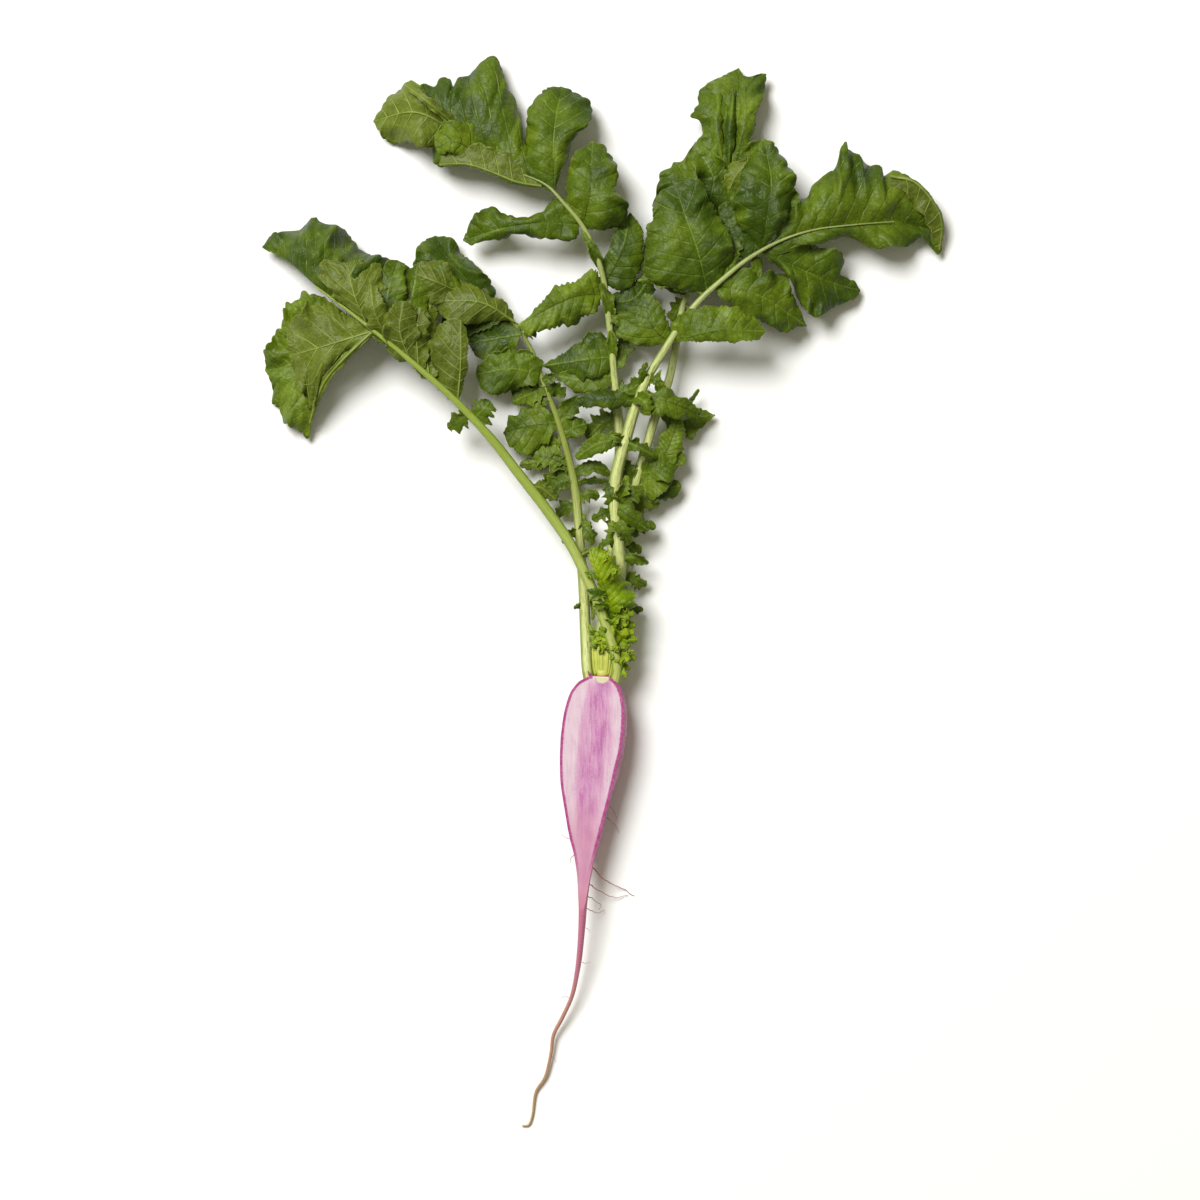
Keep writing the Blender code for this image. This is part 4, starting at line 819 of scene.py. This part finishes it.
def close_tree(tree, geometry, finish):
    """Ends a tree: plain geometry in one finish."""
    plain = add(tree, "GeometryNodeRealizeInstances", {"Geometry": geometry}).outputs[0]
    painted = add(tree, "GeometryNodeSetMaterial", {"Geometry": plain, "Material": finish})
    add(tree, "NodeGroupOutput", {"Geometry": painted.outputs[0]})
    return tree


def tube_tree(name, finish):
    """Tubes along edges, with the radius of each point and lengthwise ridges."""
    sizes = {"Sides": 8, "Ridges": 0, "Ridge depth": 0.0, "Height share": 1.0}
    tree, given = new_tree(name, sizes)
    curve = add(tree, "GeometryNodeMeshToCurve", {"Mesh": given["Geometry"]}).outputs[0]
    curve = add(tree, "GeometryNodeSetCurveNormal", {"Curve": curve}, mode="Z_UP").outputs[0]
    along = add(tree, "GeometryNodeSplineParameter").outputs["Length"]
    curve = mark(tree, curve, "along", along)
    radius = add(tree, "GeometryNodeInputNamedAttribute", {"Name": "tube_radius"},
                 data_type="FLOAT").outputs[0]

    # The profile: a ring of radius 1, ridged and pressed flatter
    ring = add(tree, "GeometryNodeCurvePrimitiveCircle",
               {"Resolution": given["Sides"], "Radius": 1.0}).outputs[0]
    number = add(tree, "GeometryNodeInputIndex").outputs[0]
    angle = reckon(tree, "MULTIPLY", number, reckon(tree, "DIVIDE", TAU, given["Sides"]))
    crest = reckon(tree, "COSINE", reckon(tree, "MULTIPLY", angle, given["Ridges"]))
    swell = reckon(tree, "MULTIPLY_ADD", crest, given["Ridge depth"], 1.0)
    place = add(tree, "GeometryNodeInputPosition").outputs[0]
    swollen = add(tree, "ShaderNodeVectorMath", {0: place, "Scale": swell},
                  operation="SCALE").outputs[0]
    flat = add(tree, "ShaderNodeCombineXYZ", {0: 1.0, 1: given["Height share"], 2: 1.0}).outputs[0]
    pressed = add(tree, "ShaderNodeVectorMath", {0: swollen, 1: flat},
                  operation="MULTIPLY").outputs[0]
    ring = add(tree, "GeometryNodeSetPosition", {"Geometry": ring, "Position": pressed}).outputs[0]
    ring = mark(tree, ring, "around_x", reckon(tree, "COSINE", angle))
    ring = mark(tree, ring, "around_y", reckon(tree, "SINE", angle))

    tube = add(tree, "GeometryNodeCurveToMesh",
               {"Curve": curve, "Profile Curve": ring, "Scale": radius, "Fill Caps": True})
    smooth = add(tree, "GeometryNodeSetShadeSmooth", {"Geometry": tube.outputs[0]})
    return close_tree(tree, smooth.outputs[0], finish)


def bristle_tree(name, finish):
    """Short stiff hairs scattered over a mesh."""
    sizes = {"Hairs per square metre": 30000.0, "Hair length": 0.0016, "Hair radius": 0.00007,
             "Seed": 3}
    tree, given = new_tree(name, sizes)
    spots = add(tree, "GeometryNodeDistributePointsOnFaces",
                {"Mesh": given["Geometry"], "Density": given["Hairs per square metre"],
                 "Seed": given["Seed"]}).outputs
    hair = add(tree, "GeometryNodeMeshCone",
               {"Vertices": 3, "Radius Top": 0.0, "Radius Bottom": given["Hair radius"],
                "Depth": given["Hair length"]}).outputs["Mesh"]
    lean = add(tree, "FunctionNodeRandomValue",
               {"Min": (-0.7, -0.7, -0.3), "Max": (0.7, 0.7, 0.3), "Seed": 5},
               data_type="FLOAT_VECTOR").outputs[0]
    leaning = add(tree, "FunctionNodeRotateRotation",
                  {"Rotation": spots["Rotation"], "Rotate By": lean},
                  rotation_space="LOCAL").outputs[0]
    hairs = add(tree, "GeometryNodeInstanceOnPoints",
                {"Points": spots["Points"], "Instance": hair, "Rotation": leaning}).outputs[0]
    return close_tree(tree, hairs, finish)


def grow(seed, tree, sizes, name=None):
    """Runs a tree on an object. Its plain mesh becomes the object's own, or a new object's."""
    modifier = seed.modifiers.new("grow", "NODES")
    modifier.node_group = tree
    for socket in tree.interface.items_tree:
        if socket.in_out == "INPUT" and socket.name in sizes:
            modifier[socket.identifier] = sizes[socket.name]
    graph = bpy.context.evaluated_depsgraph_get()
    mesh = bpy.data.meshes.new_from_object(seed.evaluated_get(graph), depsgraph=graph,
                                           preserve_all_data_layers=True)
    seed.modifiers.clear()
    finish = mesh.materials[len(mesh.materials) - 1]
    mesh.materials.clear()
    mesh.materials.append(finish)
    mesh.polygons.foreach_set("material_index", [0] * len(mesh.polygons))
    if name:
        return link(name, mesh)
    seed.data = mesh
    return seed


def tubes(name, paths, tree, sides, ridges=0, depth=0.0, height=1.0):
    """One piece of tubes along open paths of x, y, z and radius.

    Ridges run along them, and they are pressed to a share of their height.
    """
    points = np.concatenate(paths)
    edges, start = [], 0
    for path in paths:
        edges += [(start + i, start + i + 1) for i in range(len(path) - 1)]
        start += len(path)
    lines = new_object(name, points[:, :3], edges=edges, values={"tube_radius": points[:, 3] * MM})
    sizes = {"Sides": sides, "Ridges": ridges, "Ridge depth": depth, "Height share": height}
    return grow(lines, tree, sizes)


def place_piece(piece, slot, *nodes):
    """Hands a finished piece to the frame, in place of the named solids."""
    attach(piece, "root")
    if nodes:
        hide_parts(*nodes)


# Finishes


def srgb(red, green, blue):
    """A colour given as 0 to 255 on the screen, as the shader takes it."""
    def linear(value):
        value /= 255
        return value / 12.92 if value <= 0.04045 else ((value + 0.055) / 1.055) ** 2.4

    return (linear(red), linear(green), linear(blue), 1.0)


def darker(colour, share):
    """A share of a shader colour's light."""
    return tuple(share * c for c in colour[:3]) + (1.0,)


class Finish:
    """One material and short ways to add its nodes, which give back a node's output."""

    def __init__(self, name, roughness, gloss=0.5):
        self.material = bpy.data.materials.new(name)
        self.material.use_nodes = True
        self.tree = self.material.node_tree
        self.shader = self.tree.nodes["Principled BSDF"]
        self.shader.inputs["Roughness"].default_value = roughness
        self.shader.inputs["Specular IOR Level"].default_value = gloss

    def math(self, operation, *values):
        return reckon(self.tree, operation, *values)

    def times(self, first, second):
        return reckon(self.tree, "MULTIPLY", first, second)

    def stir(self, value, noise, amount, middle=0.5):
        """The value, moved up and down by noise about its middle."""
        return self.math("MULTIPLY_ADD", self.math("SUBTRACT", noise, middle), amount, value)

    def place(self, stretch=(1, 1, 1)):
        """Object coordinates in millimetres, shrunk along an axis for streaks."""
        spot = add(self.tree, "ShaderNodeTexCoord").outputs["Object"]
        scale = tuple(1000 * s for s in stretch)
        return add(self.tree, "ShaderNodeVectorMath", {0: spot, 1: scale},
                   operation="MULTIPLY").outputs[0]

    def lengthwise(self):
        """How far up the picture a point is, in millimetres."""
        return add(self.tree, "ShaderNodeSeparateXYZ", {0: self.place()}).outputs[1]

    def value(self, name):
        """One of the named values on the piece's points."""
        return add(self.tree, "ShaderNodeAttribute", attribute_name=name).outputs["Fac"]

    def noise(self, length, detail=2.0, where=None):
        """Even noise from 0 to 1 with spots of about this length in millimetres."""
        return add(self.tree, "ShaderNodeTexNoise",
                   {"Vector": where or self.place(), "Scale": 1 / length,
                    "Detail": detail}).outputs["Fac"]

    def cells(self, length):
        """The distance to the edge of irregular cells of about this length in millimetres."""
        return add(self.tree, "ShaderNodeTexVoronoi",
                   {"Vector": self.place(), "Scale": 1 / length},
                   feature="DISTANCE_TO_EDGE").outputs["Distance"]

    def fade(self, value, low, high):
        """0 below low and 1 above high, smoothly; the other way round where low is the greater."""
        return add(self.tree, "ShaderNodeMapRange",
                   {"Value": value, "From Min": low, "From Max": high},
                   interpolation_type="SMOOTHSTEP").outputs[0]

    def blend(self, share, first, second):
        """The first colour with a share of the second laid over it."""
        return add(self.tree, "ShaderNodeMix", {0: share, 6: first, 7: second},
                   data_type="RGBA", blend_type="MIX").outputs[2]

    def tint(self, colour, share, *shade):
        """The colour with a share of a screen colour laid over it."""
        return self.blend(share, colour, srgb(*shade))

    def bump(self, *heights):
        """Relief from pairs of height and depth in millimetres, the coarsest first."""
        normal = None
        for height, depth in heights:
            inputs = {"Height": height, "Distance": depth * MM, "Strength": 1.0}
            if normal:
                inputs["Normal"] = normal
            normal = add(self.tree, "ShaderNodeBump", inputs).outputs[0]
        self.tree.links.new(normal, self.shader.inputs["Normal"])

    def paint(self, colour, roughness=None):
        """Colours the surface, and gives back the finished material."""
        self.tree.links.new(colour, self.shader.inputs["Base Color"])
        if roughness:
            self.tree.links.new(roughness, self.shader.inputs["Roughness"])
        return self.material


def blade_finish(name, colours):
    """Leaf skin: greens in patches, a net of fine veins, side veins and a paler underside, with
    painted shade in the sunk veins' creases on top and in fine dents.
    """
    dark, middle, light, under, vein, under_vein = [srgb(*colour) for colour in colours]
    skin = Finish(name, 0.4, 0.22)
    patches = skin.math("MULTIPLY_ADD", skin.value("tone"), 0.3, skin.noise(26, 3.0))
    top = skin.blend(skin.fade(patches, 0.36, 0.56), dark, middle)
    top = skin.blend(skin.fade(patches, 0.52, 0.8), top, light)
    back = skin.blend(skin.fade(patches, 0.35, 0.7), under, darker(under, 0.72))

    # Veins: the net's thread, the side veins and the midrib, sunk, with painted shade on top here
    # and there
    net = skin.cells(3.4)
    turn = skin.math("FRACT", skin.math("ADD", skin.value("phase"), 0.5))
    side_vein = skin.math("ABSOLUTE", skin.math("SUBTRACT", turn, 0.5))
    line = skin.times(skin.fade(side_vein, 0.045, 0.015), skin.fade(skin.value("share"), 1.0, 0.5))
    rib = skin.fade(skin.value("rib_mm"), 0.6, 0.25)
    thread = skin.fade(net, 0.07, 0.015)
    marks = skin.math("MAXIMUM", skin.times(line, 0.45), skin.times(rib, 0.75))
    # Painted shade for the sunk veins on top, and vein colour that turns from it to pale in patches
    crease_shade = darker(dark, 0.4)
    vein_and_crease_shade = skin.blend(skin.fade(skin.noise(34), 0.42, 0.56), crease_shade, vein)
    top = skin.blend(skin.times(thread, 0.26), top, crease_shade)
    top = skin.blend(skin.times(marks, 0.72), top, vein_and_crease_shade)
    back_marks = skin.math("MAXIMUM", skin.times(marks, 0.8), skin.times(thread, 0.24))
    back = skin.blend(back_marks, back, under_vein)

    # Both sides together, with a pale edge, and painted shade in fine specks where the bump dents
    colour = skin.blend(skin.fade(skin.value("under"), 0.4, 0.6), top, back)
    edge = skin.times(skin.fade(skin.value("edge_mm"), 0.55, 0.15), 0.5)
    colour = skin.blend(edge, colour, under_vein)
    speck = skin.noise(2.2, 3.0)
    # Painted shade: the fine dents, where the speck noise is low, are darker
    shaded = skin.tint(colour, 0.22, 0, 0, 0)
    colour = skin.blend(skin.fade(speck, 0.3, 0.75), shaded, colour)
    skin.bump((skin.noise(5, 3.0), 0.3), (skin.fade(net, 0.0, 0.25), 0.13),
              (skin.fade(side_vein, 0.0, 0.1), 0.18), (speck, 0.08))
    return skin.paint(colour, skin.math("MULTIPLY_ADD", skin.noise(7, 2.0), 0.3, 0.32))


def stalk_finish(name, colours, turning=(0.1, 0.6)):
    """A fleshy stalk: pale along its top, greener at its sides and onwards, finely streaked."""
    pale, green, deep = [srgb(*colour) for colour in colours]
    skin = Finish(name, 0.42, 0.45)
    across = skin.value("around_x")
    drawn = skin.times(skin.value("along"), 1 / MM / STREAK_STRETCH)
    where = add(skin.tree, "ShaderNodeCombineXYZ",
                {0: across, 1: skin.value("around_y"), 2: drawn}).outputs[0]
    streaks = skin.noise(0.22, 3.0, where)
    broad = skin.noise(0.7, 2.0, where)
    side = skin.fade(skin.math("ABSOLUTE", skin.stir(across, broad, 0.8)), 0.35, 0.95)
    onward = skin.times(skin.fade(skin.value("along"), *turning), 0.85)
    colour = skin.blend(skin.math("MAXIMUM", side, onward), pale, green)
    colour = skin.blend(skin.fade(streaks, 0.52, 0.68), colour, green)
    colour = skin.blend(skin.times(skin.fade(streaks, 0.45, 0.3), 0.4), colour, deep)
    skin.bump((streaks, 0.3), (skin.noise(1.2, 2.0), 0.06))
    return skin.paint(colour)


def plain_finish(name, first, second, length, roughness=0.5):
    """A small plain part in two shades of one colour."""
    skin = Finish(name, roughness)
    patches = skin.noise(length, 3.0)
    skin.bump((patches, 0.1))
    return skin.paint(skin.blend(skin.fade(patches, 0.35, 0.65), srgb(*first), srgb(*second)))


def flesh_finish():
    """The wet cut face: a dark rim under the skin, white flesh and a purple streaked core."""
    skin = Finish("cut_flesh", 0.4, 0.4)
    y = skin.lengthwise()
    streak = skin.noise(0.9, 4.0, skin.place((1, 0.09, 1)))
    band = skin.noise(5, 3.0, skin.place((1, 0.12, 1)))
    cloud = skin.noise(8, 4.0, skin.place((1, 0.55, 1)))
    grain = skin.noise(0.5, 3.0)

    # The purple haze, strongest along the middle
    bent = skin.stir(skin.value("across"), band, 0.9, 0.62)
    core = skin.fade(skin.math("ABSOLUTE", bent), 0.72, 0.05)
    haze = skin.times(core, skin.math("MULTIPLY_ADD", cloud, 1.3, 0.05))
    haze = skin.stir(skin.stir(haze, streak, 0.9), grain, 0.8)
    colour = skin.tint(srgb(206, 183, 193), skin.fade(haze, -0.12, 0.42), 196, 146, 176)
    colour = skin.tint(colour, skin.fade(haze, 0.34, 0.95), 172, 96, 152)

    # Pinker towards the tail
    colour = skin.tint(colour, skin.times(skin.fade(y, -22, -58), 0.75), 188, 126, 154)
    colour = skin.tint(colour, skin.fade(y, -66, -92), 190, 122, 146)

    # The ring under the skin, fading at the tail, and the yellow pith at the crown
    ragged = skin.math("MULTIPLY_ADD", skin.noise(1.1, 2.0), 0.7, skin.value("rim_mm"))
    ring = skin.times(skin.fade(ragged, 2.25, 1.55), skin.fade(y, -80, -52))
    ring_colour = skin.tint(srgb(150, 44, 112), skin.fade(skin.noise(1.6, 2.0), 0.4, 0.65),
                            172, 74, 134)
    colour = skin.blend(ring, colour, ring_colour)
    pith = (PITH_PLACE[0], PITH_PLACE[1] * 1.2, 0)
    away = add(skin.tree, "ShaderNodeVectorMath", {0: skin.place((1, 1.2, 0)), 1: pith},
               operation="DISTANCE").outputs["Value"]
    ragged_pith = skin.math("MULTIPLY_ADD", skin.noise(1.5, 3.0), 1.6, away)
    colour = skin.tint(colour, skin.fade(ragged_pith, 5.1, 4.1), 204, 200, 158)
    skin.bump((grain, 0.1), (streak, 0.12))
    return skin.paint(colour)


def root_skin_finish():
    """The skin: purple-pink with pale level scars, turning tan towards the tail's tip."""
    skin = Finish("root_skin", 0.42, 0.45)
    y = skin.lengthwise()
    patches = skin.noise(9, 3.0)
    scars = skin.noise(1.6, 2.0, skin.place((0.22, 1.0, 0.22)))
    speck = skin.noise(0.8, 2.0)
    colour = skin.tint(srgb(170, 76, 130), skin.fade(patches, 0.35, 0.68), 190, 108, 150)
    colour = skin.tint(colour, skin.times(skin.fade(scars, 0.62, 0.75), 0.55), 208, 158, 176)
    colour = skin.tint(colour, skin.fade(y, -44, -84), 184, 108, 134)
    colour = skin.tint(colour, skin.fade(y, -112, -152), 176, 126, 110)
    colour = skin.tint(colour, skin.fade(y, -150, -205), 172, 142, 98)
    colour = skin.tint(colour, skin.times(skin.fade(speck, 0.6, 0.75), 0.25), 120, 60, 90)
    skin.bump((scars, 0.3), (speck, 0.08))
    return skin.paint(colour)


# The root


def root_section(station, left):
    """One ring of the root, its skin from edge to edge and then its top, and whether it is cut."""
    spot, radius = station[:3], station[3]
    slope = math.tan(CUT_ROLL)
    tilt = math.hypot(1, slope * left[0])
    lean = math.atan2(slope * left[0], 1)
    reach = (CUT_HEIGHT + slope * spot[0] - spot[2]) / (radius * tilt)
    is_cut = reach < WHOLE_RING
    if is_cut:
        side = math.asin(max(reach, -1))
        first, last = lean + side, lean + math.pi - side
    else:
        first, last = WHOLE_RING_TOP
    skin = last + (TAU - last + first) * np.linspace(0, 1, SKIN_SIDES + 1)
    level = np.linspace(math.cos(first), math.cos(last), FACE_SIDES + 1)[1:-1]
    angles = np.concatenate([skin, np.arccos(np.clip(level, -1, 1))])
    ring = spot + radius * (np.cos(angles)[:, None] * left + np.sin(angles)[:, None] * UP)
    ring[:, 2] = np.clip(ring[:, 2], 0, CUT_HEIGHT + slope * ring[:, 0])
    return ring, is_cut


def root_rings():
    """All rings of the root, with dents in the skin and a slightly uneven cut."""
    stations = smooth_path(ROOT_STATIONS, ROOT_RINGS)
    sections = [root_section(station, side) for station, side in zip(stations, left_of(stations))]
    rings, cut = (np.array(part) for part in zip(*sections))
    step = np.arange(rings.shape[1])
    skin = step <= SKIN_SIDES
    out = unit(rings - stations[:, None, :3])
    dent = 0.22 * waves(rings * (1, 0.5, 1), 9, 41) + 0.1 * waves(rings * (0.6, 2, 0.6), 6, 42)
    size = np.clip(stations[:, 3] / 8, 0.12, 1)[:, None]
    edge_fade = np.clip(np.minimum(step, SKIN_SIDES - step) / 4, 0, 1)
    rings[:, skin] += (dent * size * edge_fade)[:, skin, None] * out[:, skin]
    rings[:, ~skin, 2] += 0.12 * waves(rings[:, ~skin, :2] * (1, 0.4), 7, 43)
    rings[..., 2] = np.maximum(rings[..., 2], 0)
    return rings, cut


def face_values(rings, cut):
    """For the cut face's finish: each point's distance from its edge, and how far right it is.

    The second is -1 at the left edge and 1 at the right one.
    """
    number = np.arange(rings.shape[1])
    corners = np.concatenate([rings[cut, 0], rings[cut, SKIN_SIDES]])
    flat = rings.reshape(-1, 3)
    rim = np.full(len(flat), FAR_FROM_RIM)
    on_face = np.where(np.tile((number >= SKIN_SIDES) | (number == 0), len(rings)))[0]
    for part in np.array_split(on_face, 12):  # in parts, to save memory
        rim[part] = np.linalg.norm(flat[part, None] - corners[None], axis=2).min(axis=1)
    chord = rings[:, SKIN_SIDES] - rings[:, 0]
    half = np.maximum(np.linalg.norm(chord, axis=1) / 2, 0.5)
    centre = (rings[:, SKIN_SIDES] + rings[:, 0]) / 2
    across = ((rings[..., 0] - centre[:, None, 0]) / half[:, None]).ravel()
    return rim, across


def build_root():
    """The root half: skin and cut face in one closed mesh, with a crisp edge between them."""
    rings, cut = root_rings()
    sides = rings.shape[1]
    index = np.arange(rings.shape[0] * sides).reshape(-1, sides)
    after = np.roll(index, -1, axis=1)
    faces = np.stack([index[:-1], after[:-1], after[1:], index[1:]], axis=-1).reshape(-1, 4)
    cut_pair = cut[:-1] & cut[1:]
    is_face = (np.arange(sides) >= SKIN_SIDES)[None, :] & cut_pair[:, None]

    # A point closes each end
    flat = rings.reshape(-1, 3)
    ends = [flat[index[0]].mean(axis=0) + (0, 0.8, 0), flat[index[-1]].mean(axis=0) + (-0.3, 0, 0)]
    crown, tip = len(flat), len(flat) + 1
    caps = [(index[0, (k + 1) % sides], index[0, k], crown) for k in range(sides)]
    caps += [(index[-1, k], index[-1, (k + 1) % sides], tip) for k in range(sides)]
    rim, across = face_values(rings, cut)
    values = {"rim_mm": np.append(rim, [FAR_FROM_RIM] * 2), "across": np.append(across, [0, 0])}
    root = new_object("root_flesh_and_skin", np.concatenate([flat, ends]), [*faces.tolist(), *caps],
                      values=values, finish=root_skin_finish())
    mesh = root.data
    mesh.materials.append(flesh_finish())
    finishes = np.zeros(len(mesh.polygons), np.int32)
    finishes[:len(faces)] = is_face.ravel()
    mesh.polygons.foreach_set("material_index", finishes)
    low, high = index[:-1][cut_pair], index[1:][cut_pair]
    rims = {pair for k in (0, SKIN_SIDES) for pair in zip(low[:, k].tolist(), high[:, k].tolist())}
    sharp = [tuple(sorted(edge.vertices)) in rims for edge in mesh.edges]
    mesh.attributes.new("sharp_edge", "BOOLEAN", "EDGE").data.foreach_set("value", sharp)
    place_piece(root, "root", "radish_root")


def build_rootlets():
    """The fine roots, each swaying a little."""
    strands = []
    for points, radius in ROOTLETS:
        path = smooth_path(points, 28)
        sway = [0.35 * waves(path, 5, 7), 0.35 * waves(path, 5, 8), np.zeros(len(path))]
        path = path + np.column_stack(sway)
        thin = ROOTLET_SCALE * radius * (1 - 0.6 * np.linspace(0, 1, len(path)))
        path[:, 2] = np.maximum(path[:, 2], thin + 0.02)
        strands.append(np.column_stack([path, thin]))
    tan = plain_finish("rootlet_tan", (158, 104, 98), (184, 138, 118), 4)
    place_piece(tubes("rootlets", strands, tube_tree("rootlet", tan), 6), "root")


# Leaves and crown


def stalk_line(leaf, rise, start):
    """The stalk's path in even steps, raised or sunk from a share of its length on, and tapered."""
    length = arc_reach(np.array(leaf.stalk)[:, :3])[-1]
    path = smooth_path(leaf.stalk, int(length / STALK_STEP))
    share = np.linspace(0, 1, len(path))
    path[:, 2] += rise * path[:, 3] * np.clip((share - start) / 0.2, 0, 1)
    path[:, 3] *= 1.13 - 0.5 * np.clip((share - 0.45) / 0.45, 0, 1)
    return path


def build_blades(name, leaf, finish, seed):
    """All blades of a leaf in one mesh, and the paths of their veins."""
    stalk = smooth_path(leaf.stalk, 160)
    points, faces, values, veins, start = [], [], {}, [], 0
    for number, blade in enumerate(leaf.blades):
        sheet = blade_sheet(blade, stalk, seed + BLADE_SEED * number)
        solid, quads, marks = closed_sheet(sheet, blade)
        points.append(solid)
        faces.append(quads + start)
        start += len(solid)
        for key, numbers in marks.items():
            values.setdefault(key, []).append(numbers)
        veins += vein_paths(sheet, blade)
    joined = {key: np.concatenate(parts) for key, parts in values.items()}
    faces = np.concatenate(faces).tolist()
    return new_object(name, np.concatenate(points), faces, values=joined, finish=finish), veins


def build_leaves():
    """The five large leaves, each with its blades, stalk, veins and bristles."""
    skin = blade_finish("leaf_skin", LEAF_SKIN)
    pale = stalk_finish("pale_stalk", PALE_STALK, (0.13, 0.27))
    stalks = {"left_leaf": stalk_finish("green_stalk", GREEN_STALK, (0.03, 0.12)),
              "inner_left_leaf": stalk_finish("olive_stalk", OLIVE_STALK, (0.06, 0.13))}
    vein = tube_tree("vein", plain_finish("leaf_vein", (130, 147, 58), (108, 128, 42), 5))
    hair = plain_finish("stalk_hair", (196, 206, 150), (176, 192, 120), 3)
    bristles = bristle_tree("bristles", hair)
    for number, (name, leaf) in enumerate(LEAVES.items()):
        for blade in leaf.blades:
            blade.turned = leaf.turned if blade.turned is None else blade.turned
        seed = FIRST_SEED + LEAF_SEED * number
        blades, veins = build_blades(f"{name}_blades", leaf, skin, seed)
        ribbed = tube_tree(f"ribbed_{name}", stalks.get(name, pale))
        rise = STALK_RISE.get(name, STALK_SINK)
        line = stalk_line(leaf, rise, RISE_FROM if rise > 0 else SINK_FROM)
        stem = tubes(f"{name}_stalk", [line], ribbed, STALK_SIDES, 8, 0.045, 0.92)
        hairs = grow(stem, bristles, {"Seed": number + 1}, f"{name}_bristles")
        threads = tubes(f"{name}_veins", veins, vein, 5)
        for piece in (blades, stem, threads, hairs):
            place_piece(piece, "leaf", name)


def build_crown():
    """The young leaf and what sits round it on the crown."""
    blades, veins = build_blades("young_blades", YOUNG_LEAF,
                                 blade_finish("young_skin", YOUNG_SKIN), YOUNG_SEED)
    ribbed = tube_tree("young_stalk_tube", stalk_finish("young_stalk", YOUNG_STALK, (0.5, 0.9)))
    stem = tubes("young_stem", [stalk_line(YOUNG_LEAF, -2.4, 0.4)], ribbed, 18, 6, 0.08, 0.9)
    stubs = []
    for points, radius in CUT_STALKS:
        path = smooth_path(points, 14)
        share = np.linspace(0, 1, len(path))
        thick = radius * (1.05 - 0.75 * share**3) * np.clip(0.5 + 3 * share, 0, 1)
        stubs.append(np.column_stack([path, thick]))
    stubs = tubes("cut_stalks", stubs, ribbed, 22, 6, 0.06, 0.8)
    collar = tubes("crown_collar", [smooth_path(COLLAR, 16)], ribbed, 40, 15, 0.05, 0.9)
    scale = tube_tree("scale", plain_finish("dry_scale", (96, 44, 62), (142, 84, 92), 1.2, 0.6))
    dry = [np.column_stack([smooth_path(points, 8), radius * np.linspace(1, 0.3, 9)])
           for points, radius in SCALES]
    dry = tubes("dry_scales", dry, scale, 8, 3, 0.2, 0.5)
    thread = plain_finish("young_vein", (170, 190, 90), (150, 172, 70), 4)
    threads = tubes("young_veins", veins, tube_tree("young_vein_tube", thread), 5)
    for piece in (blades, stem, stubs, collar, dry, threads):
        place_piece(piece, "young_leaf", "crown_heart")


# Paper, light and camera


def build_stage():
    """A sheet of matt white paper."""
    paper = Finish("white_paper", 0.9, 0.1)
    grain = paper.noise(3, 3.0)
    paper.bump((grain, 0.02))
    paper.paint(paper.blend(grain, (0.92, 0.92, 0.915, 1), (0.94, 0.94, 0.935, 1)))
    corners = [(PAPER_HALF * x, PAPER_HALF * y, 0) for x, y in ((-1, -1), (1, -1), (1, 1), (-1, 1))]
    floor = new_object("floor", corners, [(0, 1, 2, 3)], finish=paper.material)
    floor.data.polygons[0].use_smooth = False


def soft_light(name, place, width, power, colour):
    """A round soft light that faces the radish."""
    lamp = bpy.data.lights.new(name, "AREA")
    lamp.shape, lamp.size, lamp.energy, lamp.color = "DISK", width, power, colour
    x, y, z = np.array(LIGHT_AIM) - np.array(place)
    made = link(name, lamp)
    made.location = place
    made.rotation_euler = (math.atan2(math.hypot(x, y), -z), 0, math.atan2(-x, y))


def build_light_and_camera():
    """The two lights, the air's own light and the camera."""
    scene = bpy.context.scene
    soft_light("window", *WINDOW)
    soft_light("ceiling", *CEILING)
    scene.world = bpy.data.worlds.new("studio")
    scene.world.use_nodes = True
    air = scene.world.node_tree.nodes["Background"].inputs
    air["Color"].default_value, air["Strength"].default_value = AIR_COLOUR, AIR_STRENGTH
    scene.view_settings.view_transform = "Standard"
    lens = bpy.data.cameras.new("camera")
    lens.lens, lens.sensor_width, lens.clip_end = CAMERA_LENS, 36, 20
    scene.camera = link("camera", lens)
    scene.camera.location = CAMERA_PLACE


build_root()
build_rootlets()
build_leaves()
build_crown()
build_stage()
build_light_and_camera()
